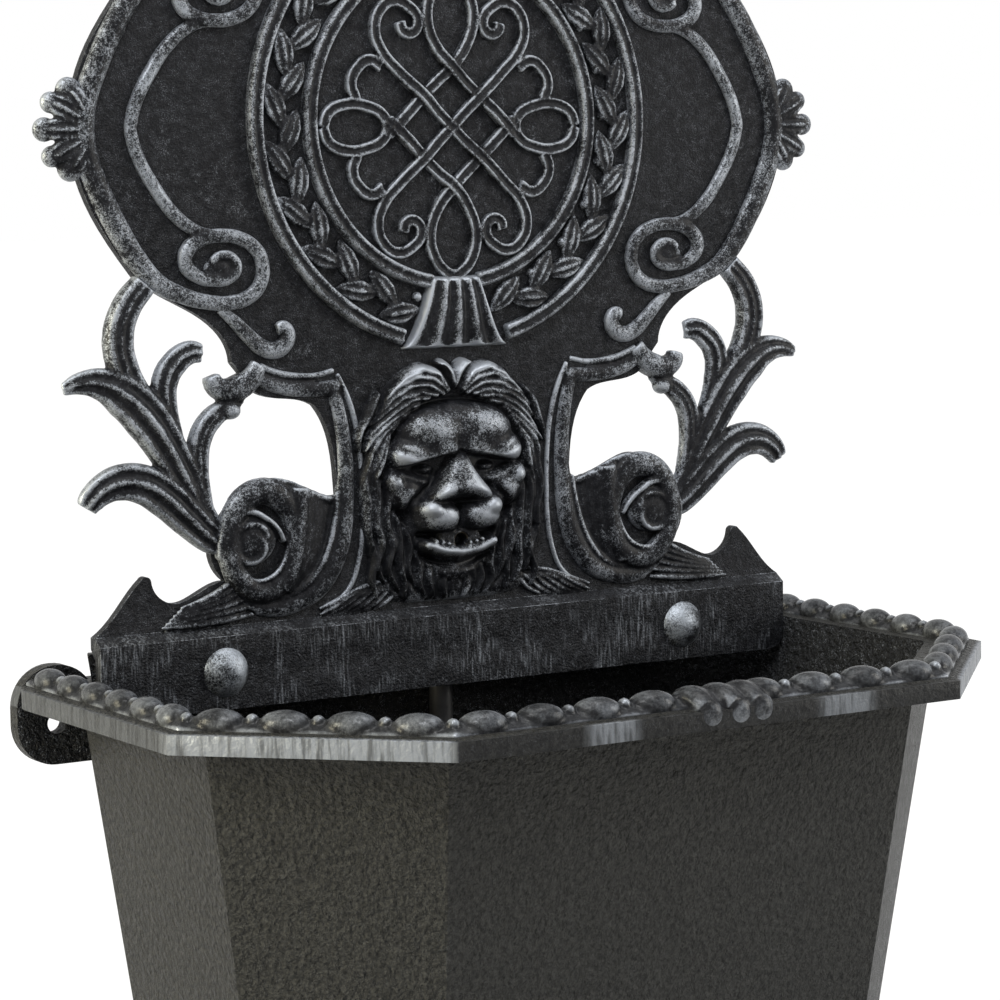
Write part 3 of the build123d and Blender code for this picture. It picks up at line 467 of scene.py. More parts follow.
def pebbleInto(bm, place, halves, turn=0.0, segments=20):
    # An egg or berry of given half axes, turned about the way out of the plate
    ball = bmesh.ops.create_uvsphere(bm, u_segments=segments, v_segments=segments // 2, radius=1)
    turned = Matrix.Rotation(math.radians(turn), 4, "Z") @ Matrix.Diagonal((*halves, 1))
    bmesh.ops.transform(bm, matrix=Matrix.Translation(place) @ turned, verts=ball["verts"])


def fuse(bm, grain, rounds):
    # One skin over overlapping pieces, its cells of a given size in mm, softened as a sand casting is
    bmesh.ops.remove_doubles(bm, verts=bm.verts, dist=0.0005)
    bmesh.ops.recalc_face_normals(bm, faces=bm.faces)
    mesh = bpy.data.meshes.new("bench")
    bm.to_mesh(mesh)
    bm.clear()
    bench = bpy.data.objects.new("bench", mesh)
    bpy.context.scene.collection.objects.link(bench)
    skin = bench.modifiers.new("skin", "REMESH")
    skin.mode = "VOXEL"
    skin.voxel_size = grain
    fused = shapeOf(bench)
    bm.from_mesh(fused)
    bpy.data.meshes.remove(fused)
    removeHelper(bench)
    for _ in range(rounds):
        bmesh.ops.smooth_vert(bm, verts=bm.verts, factor=0.5,
                              use_axis_x=True, use_axis_y=True, use_axis_z=True)


wornSpan = (-1, 1.5)
wornLow = 0.12      # share of the wear that is left below the rubbed level


def measureWear(mesh, fine=4, broad=40, fineGain=1.5, broadGain=0.6, rubbedFrom=None, tilt=(0, 0),
                dulled=()):
    # How far each point stands proud of its softened surroundings, in mm
    count = len(mesh.vertices)
    spots, normals = np.empty(count * 3), np.empty(count * 3)
    mesh.vertices.foreach_get("co", spots)
    mesh.vertices.foreach_get("normal", normals)
    spots, normals = spots.reshape(-1, 3), normals.reshape(-1, 3)
    edges = np.empty(len(mesh.edges) * 2, dtype=np.int64)
    mesh.edges.foreach_get("vertices", edges)
    first, second = edges.reshape(-1, 2).T
    links = np.maximum(np.bincount(edges, minlength=count), 1)
    soft = spots.copy()
    worn = np.zeros(count)
    for turn in range(1, broad + 1):
        sums = [np.bincount(first, part[second], count) + np.bincount(second, part[first], count)
                for part in soft.T]
        soft = np.stack(sums, axis=1) / links[:, None]
        if turn == fine:
            worn += fineGain * ((spots - soft) * normals).sum(axis=1)
    worn += broadGain * ((spots - soft) * normals).sum(axis=1)
    # recessed places keep their black; a tilt lowers the level further down the piece, as painted shade
    # towards the bottom
    if rubbedFrom:
        low, high = rubbedFrom
        level = spots[:, 2] + (spots[:, 1] - tilt[0]) * tilt[1]
        worn *= np.clip((level - low) / (high - low), wornLow, 1)
    # painted shade: the wear is cut back in the given spots, so they stay dark as if shade fell there
    for x, up, wide, tall, loss in dulled:
        worn *= 1 - loss * np.exp(-((spots[:, 0] - x) / wide) ** 4 - ((spots[:, 1] - up) / tall) ** 2)
    layer = mesh.attributes.new("worn", "FLOAT", "POINT")
    layer.data.foreach_set("value", np.clip(worn, *wornSpan))


def mount(name, mesh, finish, node, body):
    # Makes a mesh a piece of the part, in place of a node
    mesh.materials.append(finish)
    piece = bpy.data.objects.new(name, mesh)
    bpy.context.scene.collection.objects.link(piece)
    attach(piece, body)
    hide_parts(node)
    print(name, len(mesh.polygons), "faces")


def hang(name, bm, finish, node, space=plateSpace, **wear):
    # Takes a cast piece from the bench to its place on the wall
    mesh = bpy.data.meshes.new(name)
    bm.to_mesh(mesh)
    bm.free()
    measureWear(mesh, **wear)
    mesh.transform(space)
    mesh.shade_smooth()
    mount(name, mesh, finish, node, "fountain")


def hangPair(name, bm, finish, node, **wear):
    # The same piece for the right side and, mirrored, for the left
    other = bm.copy()
    bmesh.ops.scale(other, vec=(-1, 1, 1), verts=other.verts)
    bmesh.ops.reverse_faces(other, faces=other.faces)
    hang("right" + name, bm, finish, "right_" + node, **wear)
    hang("left" + name, other, finish, "left_" + node, **wear)


# Scrolls along the plate's edge, with a volute at each end

scroll = {
    "rim": [(171.2, 203.5, 5.0, 0.5), (169.8, 193, 5.0, 0.5), (165.6, 181.5, 5.0, 0.5),
            (156.4, 163, 4.9, 0.6), (147.4, 149.4, 4.6, 0.7), (139.6, 141.6, 4.0, 0.9),
            (130, 136.8, 3.5, 1.1), (118, 133.4, 3.2, 1.2), (106, 132.8, 3.1, 1.2), (97, 135.8, 3.1, 1.2),
            (92.6, 141.4, 3.1, 1.2), (92, 148, 3.1, 1.2), (95, 154.4, 3.0, 1.2), (102, 158.8, 2.9, 1.2),
            (111, 160.2, 2.9, 1.2), (120, 158.8, 3.0, 1.2), (126.4, 154.4, 3.3, 1.3),
            (127.2, 148.6, 3.2, 1.4), (122.4, 144, 2.9, 1.5), (115, 142, 2.6, 1.5),
            (107.6, 142.8, 2.5, 1.5), (104, 146.6, 2.4, 1.6), (106, 150.8, 2.3, 1.7),
            (111.6, 152, 2.2, 1.8), (116, 149.6, 2.0, 1.9)],
    "ridge": [(150.5, 203.5, 2.9, 0.8), (148, 194, 2.9, 0.8), (140.5, 180.5, 2.9, 0.8),
              (131, 168.5, 2.9, 0.8), (122, 162.4, 2.6, 0.8), (114, 160.4, 2.2, 0.8)],
    "eye": ((112, 147.2, 0), (7.0, 3.6, 2.6)),
    "skin": (0.7, 3),
}


def makeScroll(setup):
    bm = bmesh.new()
    sweepInto(bm, [setup["rim"], setup["ridge"]], "low")
    pebbleInto(bm, *setup["eye"])
    upper = bmesh.ops.duplicate(bm, geom=bm.verts[:] + bm.edges[:] + bm.faces[:])
    verts = [part for part in upper["geom"] if isinstance(part, bmesh.types.BMVert)]
    bmesh.ops.translate(bm, vec=(0, -waist, 0), verts=verts)
    bmesh.ops.scale(bm, vec=(1, -1, 1), verts=verts)
    bmesh.ops.translate(bm, vec=(0, waist, 0), verts=verts)
    fuse(bm, *setup["skin"])
    hangPair("Scroll", bm, reliefMetal, "scroll", fineGain=1.4, broadGain=0.5)


makeScroll(scroll)


# Straps beside the mask, down from the shoulder and round into the lower volutes

strap = {
    "shoulder": [(57, 96, 3.2), (66, 95.5, 3.2), (78, 96, 3.2), (88, 98.2, 3.1), (95.5, 101.6, 2.6)],
    "brow": [(59, 103, 1.2), (68, 101.2, 1.3), (79, 101.6, 1.5), (89, 104, 1.6), (94, 106.5, 1.4)],
    "neck": [(60.5, 97, 3.0), (57.6, 88, 3.2), (55.2, 75, 3.5), (54.2, 60, 3.8), (54.8, 49, 4.3),
             (56, 39, 4.8), (58.2, 29.5, 5.1), (62.6, 20, 5.2), (69.2, 12, 4.8), (78, 7.4, 4.2),
             (88, 5.2, 3.6), (98, 6.2, 3.0)],
    "line": [(57.5, 101.5, 1.1), (52, 90, 1.3), (48.2, 76, 1.3), (46.7, 62, 1.2), (46.3, 48, 1.2),
             (46.6, 34, 1.2), (48.6, 22, 1.2), (53.5, 11, 1.1), (61, 5, 1.0)],
    # the volute is a rolled sheet: an oval ring, the roll with its free lip and eye, the ring's inner edge
    "ring": {"middle": (95, 33.8), "halves": (16.0, 20.8), "half": 5.0, "swell": 0.5, "out": 1.6,
             "lean": 0.6},
    "roll": ((101.5, 35, 0.4), (13.6, 11.4, 4.0)),
    "lip": [(115.4, 28, 1.0, 2.6), (114.8, 37, 1.2, 3.2), (110, 44, 1.3, 3.6), (102, 46.8, 1.3, 3.7),
            (94.4, 43.6, 1.3, 3.6), (88, 38.2, 1.1, 3.0), (85, 33, 0.9, 2.2)],
    "underLip": (0.3, 2.2),     # how much wider the lip's lower side is, and how far below the lip
    "eye": [(93.4, 35.6, 1.3, 3.6), (96, 40, 1.3, 3.8), (101, 41.4, 1.3, 3.9), (106.4, 39, 1.3, 3.9),
            (108.8, 33.6, 1.3, 3.8), (106.6, 27.8, 1.2, 3.7), (101, 25.6, 1.2, 3.7), (96.2, 27.8, 1.1, 3.8),
            (94.6, 32, 1.0, 3.9), (97, 35.6, 0.9, 4.0), (101, 36.2, 0.8, 4.0)],
    "ringEdge": [(108.6, 24.6, 0.7, 2.4), (104, 19.6, 1.0, 2.7), (97.4, 17.6, 1.1, 2.8), (90, 20, 1.1, 2.8),
                 (85, 26, 1.0, 2.6), (82.4, 34, 0.8, 2.2)],
    # bright inner edge of the neck band, where the sheet leaves it
    "neckEdge": [(59.2, 52, 0.8, 1.2), (59.8, 45, 1.1, 1.5), (61.4, 37, 1.2, 1.7), (64.2, 28.4, 1.3, 1.8),
                 (68.6, 20.4, 1.3, 1.7), (75, 13.8, 1.2, 1.4), (83, 10.2, 1.0, 1.0), (91, 8.8, 0.8, 0.6)],
    "edge": [(54, 48.5, 1.3, 0.4), (64, 49.6, 1.5, 0.6), (74, 53.4, 1.7, 0.8), (83, 57, 1.8, 1.0),
             (91, 58, 1.9, 1.2), (100, 55.6, 1.9, 1.2), (107.4, 49.6, 1.9, 1.2), (112, 41, 1.9, 1.2),
             (113.4, 32, 1.9, 1.2), (111.6, 22, 1.9, 1.2), (107.4, 14, 2.0, 1.0), (101, 8.2, 2.2, 0.6),
             (93, 5.4, 2.3, 0.2)],
    # the sheet that rolls up, hollowed towards the neck: strips from the neck to the ring
    "strips": 5,
    "strip": [(61, 49, 4.4, -2.2), (62.5, 36, 4.6, -2.5), (65, 24, 4.6, -2.5), (70, 13, 4.2, -2.8)],
    "sheet": (16, 6, 4.1),      # how far the last strip lies from the first: x, up at its top, out
    "curl": [(112, 130.4, 2.0, 0.8), (105, 124.6, 2.8, 0.9), (98.6, 118.4, 3.2, 1.0),
             (92.8, 113.8, 3.5, 1.0), (87, 112.4, 3.6, 1.0), (82.4, 114.8, 3.6, 1.0),
             (80.8, 118.8, 3.4, 1.1), (83, 121.8, 3.0, 1.2), (86, 121, 2.4, 1.2)],
    "skin": (0.65, 2),
}


def makeStrap(setup):
    bm = bmesh.new()
    sweepInto(bm, [setup["shoulder"], setup["neck"], setup["curl"], setup["edge"]], "low")
    sweepInto(bm, [setup["brow"], setup["line"]], "round")
    ring = setup["ring"]
    turns = [index * math.pi / 8 for index in range(16)]
    (x, up), (wide, tall) = ring["middle"], ring["halves"]
    oval = [(x + wide * math.cos(turn), up + tall * math.sin(turn),
             ring["half"] + ring["swell"] * math.sin(turn), ring["out"] + ring["lean"] * math.cos(turn))
            for turn in turns]
    sweepInto(bm, [oval], "low", closed=True)
    sweepInto(bm, [setup["eye"]], "low")
    wider, sunk = setup["underLip"]
    under = [(x, up, half + wider, out - sunk) for x, up, half, out in setup["lip"]]
    sweepInto(bm, [setup["lip"], under, setup["ringEdge"], setup["neckEdge"]], "round")
    pebbleInto(bm, *setup["roll"])
    along, rise, lift = setup["sheet"]
    for index in range(setup["strips"]):
        share = index / (setup["strips"] - 1)
        strip = [(x + along * share, up, half, out + lift * share ** 1.5)
                 for x, up, half, out in setup["strip"]]
        x, up, half, out = strip[0]
        sweepInto(bm, [[(x, up + rise * share, half, out)] + strip[1:]], "low")
    fuse(bm, *setup["skin"])
    hangPair("Strap", bm, reliefMetal, "strap")


makeStrap(strap)


# Open leaf sprays between the volutes and the scrolls

spray = {
    "leaves": [
        [(111, 33, 4.6, -0.6), (118, 36.5, 6.3, 0), (129, 46, 7.6, 0.6), (139, 55, 8.3, 1.0),
         (149, 61, 8.2, 1.2), (159, 62.2, 7.4, 1.0), (166.6, 59.6, 6.4, 0.6), (171.4, 55.4, 5.6, 0),
         (173.2, 52.4, 4.6, -0.6)],
        [(121, 44, 4.0, -1.0), (127, 57, 6.4, 0), (136, 73, 8.4, 0.6), (146, 87.5, 9.6, 0.8),
         (156, 97, 9.0, 0.8), (166, 102.2, 6.6, 0.6), (175, 102.8, 4.6, 0.2), (182.6, 100.6, 2.6, -0.4)],
        [(129, 66, 3.4, -1.2), (134, 80, 4.4, -0.2), (137.4, 92, 5.3, 0.4), (137.4, 102.2, 5.8, 0.8),
         (132.4, 109.6, 5.6, 0.8), (125.6, 113.2, 5.0, 0.4), (120.4, 112.6, 4.0, 0)],
    ],
    "stems": [
        [(113.5, 38, 3.6, -0.6), (121, 50, 3.9, 0), (129, 66, 4.2, 0.4), (139, 82, 4.6, 0.4),
         (148.5, 96, 5.6, 0.2), (155.4, 108, 6.5, 0.2), (157.4, 120, 6.6, 0.2), (153.6, 132, 6.2, 0.2),
         (145.5, 141.5, 5.6, 0)],
        [(116.5, 38, 3.2, -1.2), (121.4, 54, 4.3, -0.2), (123.2, 68, 4.9, 0.2), (121.4, 79, 5.1, 0.4),
         (115.6, 86.4, 4.8, 0.4), (108, 90.6, 3.8, 0.2), (103, 94, 2.8, 0)],
    ],
    "hook": [(94.4, 107, 3.8, 0.2), (98, 101.6, 4.8, 0.6), (103.6, 98, 5.2, 1.0), (110, 97, 4.8, 1.2),
             (114.8, 99.6, 4.0, 1.2), (116, 103.4, 3.2, 0.8)],
    "hookFoot": -1.2,
    "knob": ((108, 88.6, 0.2), (4.6, 3.8, 3.8)),
    "skin": (0.7, 2),
}


def makeSpray(setup):
    bm = bmesh.new()
    sweepInto(bm, setup["leaves"], "leaf")
    sweepInto(bm, setup["stems"], "stem")
    sweepInto(bm, [setup["hook"]], "low")
    sweepInto(bm, [[(x, up, half, setup["hookFoot"]) for x, up, half, _ in setup["hook"]]], "low")
    pebbleInto(bm, *setup["knob"])
    fuse(bm, *setup["skin"])
    hangPair("LeafSpray", bm, reliefMetal, "leaf_spray")


makeSpray(spray)


# Feathered leaves on the ledge and the ridges of the horns

footLeaf = {
    "barbs": 6,
    # the lowest and the highest barb of the leaf beside the volute: x, up, half width, out
    "lowest": [(142, 1.6, 0.6, 1.0), (128, 2.0, 1.2, 1.5), (114, 2.8, 1.4, 1.6), (100, 4.0, 0.8, 1.2)],
    "highest": [(133, 9.0, 0.6, 0.8), (122, 12.0, 1.2, 1.2), (113, 16.2, 1.3, 1.3), (107, 20.4, 0.8, 1.0)],
    "strands": [[(68 - 5.2 * index, 1.0, 0.5, 0.5), (61 - 5 * index, 3.9, 0.95, 0.9),
                 (53 - 4.8 * index, 7.8 + 0.4 * index, 1.0, 1.0),
                 (46 - 4.5 * index, 10.8, 0.6, 0.8)] for index in range(6)],
    "spine": [(68, 3.4, 0.7, 0.4), (56, 7.6, 1.1, 0.5), (44, 11.4, 1.2, 0.6), (32, 12.4, 0.9, 0.5),
              (25, 9.6, 0.7, 0.3)],
    "pads": [((120, 6.6, 0), (22, 6.2, 2.0), -20), ((110, 9.4, 0), (13, 7.6, 2.0), -34),
             ((47, 5, 0), (22, 5.2, 0.9), -16)],
    "skin": (0.5, 1),
}


def makeFootLeaf(setup):
    bm = bmesh.new()
    barbs = []
    for index in range(setup["barbs"]):
        share = index / (setup["barbs"] - 1)
        pairs = zip(setup["lowest"], setup["highest"])
        barbs.append([tuple(a + (b - a) * share for a, b in zip(low, high)) for low, high in pairs])
    sweepInto(bm, barbs + setup["strands"] + [setup["spine"]], "round")
    for pad in setup["pads"]:
        pebbleInto(bm, *pad)
    fuse(bm, *setup["skin"])
    hangPair("FootLeaf", bm, reliefMetal, "foot_leaf")


makeFootLeaf(footLeaf)


# Medallion: two moulded rings, a wreath between them, a knot inside and a pleated tie below

moulding = {
    # name, node, radius, half width, degrees left open on each side of the tie
    "rings": [("medallionOuterRing", "medallion_outer_ring", 94.5, 3.4, 15.8),
              ("medallionInnerRing", "medallion_inner_ring", 69.0, 3.2, 9.5)],
    "section": [(-1, -0.3), (-1, 0.85), (-0.8, 1.25), (-0.5, 1.3), (-0.25, 1.0), (0.1, 0.92), (0.35, 1.15),
                (0.6, 1.2), (0.85, 1.0), (1, 0.6), (1, -0.3)],
    "steps": 220,
    "longest": 1.2,     # edges longer than this are halved
    "skin": (0.75, 2),
}


def makeRing(name, node, radius, half, gap, setup):
    bm = bmesh.new()
    start = math.radians(-90 + gap)
    spots = [bm.verts.new((radius + across * half, 0, out * half)) for across, out in setup["section"]]
    bm.faces.new(spots)
    bmesh.ops.rotate(bm, matrix=Matrix.Rotation(start, 3, "Z"), verts=bm.verts)
    sweep = math.radians(360 - 2 * gap)
    bmesh.ops.spin(bm, geom=bm.faces[:], cent=(0, 0, 0), axis=(0, 0, 1), angle=sweep, steps=setup["steps"])
    bmesh.ops.translate(bm, verts=bm.verts, vec=(0, medallion, 0))
    coarse = [edge for edge in bm.edges if edge.calc_length() > setup["longest"]]
    bmesh.ops.subdivide_edges(bm, edges=coarse, cuts=1, use_grid_fill=True)
    bmesh.ops.recalc_face_normals(bm, faces=bm.faces)
    fuse(bm, *setup["skin"])
    hang(name, bm, reliefMetal, node, fineGain=1.1, broadGain=0.4)


for ring in moulding["rings"]:
    makeRing(*ring, moulding)

wreath = {
    "radius": 81.8,
    "leaves": 24,
    "skip": 18,             # degrees left bare on each side of the tie
    "tilt": 26,
    "swing": (-3.0, 3.4),   # leaves stand by turns inside and outside the middle line
    "crown": 1.9,
    "droop": 0.06,          # how fast a leaf falls from its crown, for each mm
    "berry": 2.3,
    "berryIn": 5.2,
    "berryOn": 0.32,        # share of a step past its leaf
    "berryOut": 0.8,
    # along the leaf from its stalk to its tip, with the half width
    "leaf": [(-10.4, 0.5), (-6.5, 2.9), (-1.5, 4.7), (3.5, 4.4), (8, 2.4), (10.8, 0.5)],
    "skin": (0.6, 1),
}


def makeWreath(setup):
    bm = bmesh.new()
    step = 360 / setup["leaves"]
    for index in range(setup["leaves"] * 2):
        angle = -90 + step * (index + 0.5) / 2
        away = (angle + 90 + 180) % 360 - 180
        if abs(away) < setup["skip"]:
            continue
        side = 1 if away > 0 else -1
        radius = setup["radius"] + setup["swing"][index % 2]
        turn = math.radians(angle)
        x, up = radius * math.cos(turn), medallion + radius * math.sin(turn)
        along = angle + 90 * side
        lean = setup["tilt"] * side * (1 if index % 2 else -1)
        vein = Matrix.Rotation(math.radians(along - lean), 2) @ Vector((1, 0))
        spine = [(x + vein.x * far, up + vein.y * far, half, setup["crown"] - abs(far) * setup["droop"])
                 for far, half in setup["leaf"]]
        sweepInto(bm, [spine], "leaf", steps=4)
        if index % 2:
            berry = setup["radius"] - setup["berryIn"]
            turn = math.radians(angle + step * setup["berryOn"])
            place = (berry * math.cos(turn), medallion + berry * math.sin(turn), setup["berryOut"])
            pebbleInto(bm, place, (setup["berry"],) * 3, segments=14)
    fuse(bm, *setup["skin"])
    hang("medallionWreath", bm, reliefMetal, "medallion_wreath", rubbedFrom=(0.0, 4.0))


makeWreath(wreath)

knot = {
    # x and height above the ledge on the lower right quarter, with the height out of the field
    "straps": [
        [(-31, 206.5, 0.6), (-22.5, 198.5, 1.4), (-14, 190.6, 0.6), (-7, 184.4, 0.6), (0, 178.3, 1.5),
         (7.4, 169.6, 0.9), (11.3, 159, 0.6), (9.6, 149, 0.6), (3.6, 142, 0.6), (0, 140.6, 0.5)],
        [(0, 203.5, 0.6), (7, 197, 0.7), (14, 190.6, 1.5), (25.6, 180.4, 0.7), (34, 171.6, 0.7),
         (37, 163, 0.6), (34.2, 154.8, 0.6), (27.6, 151, 0.6), (20.6, 153.2, 0.6), (16.2, 158.8, 0.6),
         (18.6, 164, 0.6), (23.6, 163.2, 0.6), (24.6, 159.6, 0.6)],
        [(46.8, 191.4, 0.6), (48.8, 185.6, 0.6), (45.6, 178.8, 0.6), (39.6, 175.6, 0.6), (34, 178.4, 0.6)],
        [(31, 206.5, 0.6), (33.4, 199, 0.6), (42, 194.6, 0.6), (52, 194, 0.6), (60, 197.6, 0.6),
         (62.6, 203.5, 0.6)],
    ],
    "half": 2.55,
    "middle": 203.5,
    "lowered": 3,
    "sunk": 0.6,
    "crossing": 1.3,    # places further out than this pass over another strap on two of the quarters
    "over": 0.9,
    "skin": (0.55, 2),
}


def makeKnot(setup):
    bm = bmesh.new()
    middle = medallion - setup["lowered"]
    for side in (1, -1):
        for rise in (1, -1):
            over = setup["over"] if side * rise > 0 else 0.0
            paths = []
            for path in setup["straps"]:
                paths.append([(x * side, middle + rise * (up - setup["middle"]), setup["half"],
                               out - setup["sunk"] + (over if out > setup["crossing"] else 0))
                              for x, up, out in path])
            sweepInto(bm, paths, "double")
    fuse(bm, *setup["skin"])
    hang("medallionKnot", bm, reliefMetal, "medallion_knot")


makeKnot(knot)


def gridPiece(xSpan, upSpan, cell, heightOf):
    # A fine sheet raised to a height at each place, its edge sunk out of sight
    bm = bmesh.new()
    wide, tall = xSpan[1] - xSpan[0], upSpan[1] - upSpan[0]
    bmesh.ops.create_grid(bm, x_segments=int(wide / cell), y_segments=int(tall / cell), size=0.5)
    bmesh.ops.scale(bm, vec=(wide, tall, 1), verts=bm.verts)
    bmesh.ops.translate(bm, vec=(xSpan[0] + wide / 2, upSpan[0] + tall / 2, 0), verts=bm.verts)
    across = np.array([vert.co.x for vert in bm.verts])
    up = np.array([vert.co.y for vert in bm.verts])
    for vert, out in zip(bm.verts, heightOf(across, up)):
        vert.co.z = out
    deep = {vert for vert in bm.verts if vert.co.z <= -0.95}
    sunk = [vert for vert in bm.verts
            if vert in deep and all(edge.other_vert(vert) in deep for edge in vert.link_edges)]
    bmesh.ops.delete(bm, geom=sunk, context="VERTS")
    for _ in range(2):
        bmesh.ops.smooth_vert(bm, verts=bm.verts, factor=0.5, use_axis_z=True)
    closeBack(bm)
    return bm


def closeBack(bm, level=-1.2):
    # Brings the sheet's edge to one level and fills it, so that the piece is a closed body
    edge = [part for part in bm.edges if part.is_boundary]
    for part in edge:
        for vert in part.verts:
            vert.co.z = level
    back = bmesh.ops.holes_fill(bm, edges=edge, sides=0)
    bmesh.ops.triangulate(bm, faces=back["faces"])
    bmesh.ops.recalc_face_normals(bm, faces=bm.faces)
    bm.normal_update()
    if bm.calc_volume(signed=True) < 0:
        bmesh.ops.reverse_faces(bm, faces=bm.faces)


tie = {
    "xSpan": (-30, 30),
    "upSpan": (108, 142),
    "cell": 0.5,
    "top": 139.5,
    "foot": 111.0,
    "topHalf": 13.0,
    "footHalf": 27.0,
    "relief": 6.4,
    "pleats": 4.5,
    "groove": 2.2,
}


def makeTie(setup):
    def heightOf(across, up):
        rise = np.clip((up - setup["foot"]) / (setup["top"] - setup["foot"]), 0, 1)
        half = setup["footHalf"] + (setup["topHalf"] - setup["footHalf"]) * rise ** 0.62
        share = across / half
        pleat = np.cos(share * math.pi * setup["pleats"])
        edge = np.clip((1 - np.abs(share)) * half / 1.6, -1, 1)
        crown = setup["relief"] * (0.62 + 0.38 * np.sin(np.clip(rise, 0.02, 1) * math.pi * 0.82))
        groove = setup["groove"] * (0.5 - 0.5 * pleat) * (1 - 0.25 * rise)
        out = crown * (1 - 0.35 * share ** 2) - groove
        cap = np.clip((setup["top"] + 1.2 - up) / 1.2, 0, 1) * np.clip(up - setup["foot"] + 1.0, 0, 1)
        inside = np.clip(edge, 0, 1)
        out = out * np.sqrt(inside) * np.sqrt(cap) - (1 - inside * cap)
        return np.where((edge <= 0) | (cap <= 0), -1.0, out)

    bm = gridPiece(setup["xSpan"], setup["upSpan"], setup["cell"], heightOf)
    hang("medallionTie", bm, reliefMetal, "medallion_tie")


makeTie(tie)
print("plate ornament carved")


# Lion mask, raised on a fine sheet from soft lobes, carved creases and locks of mane

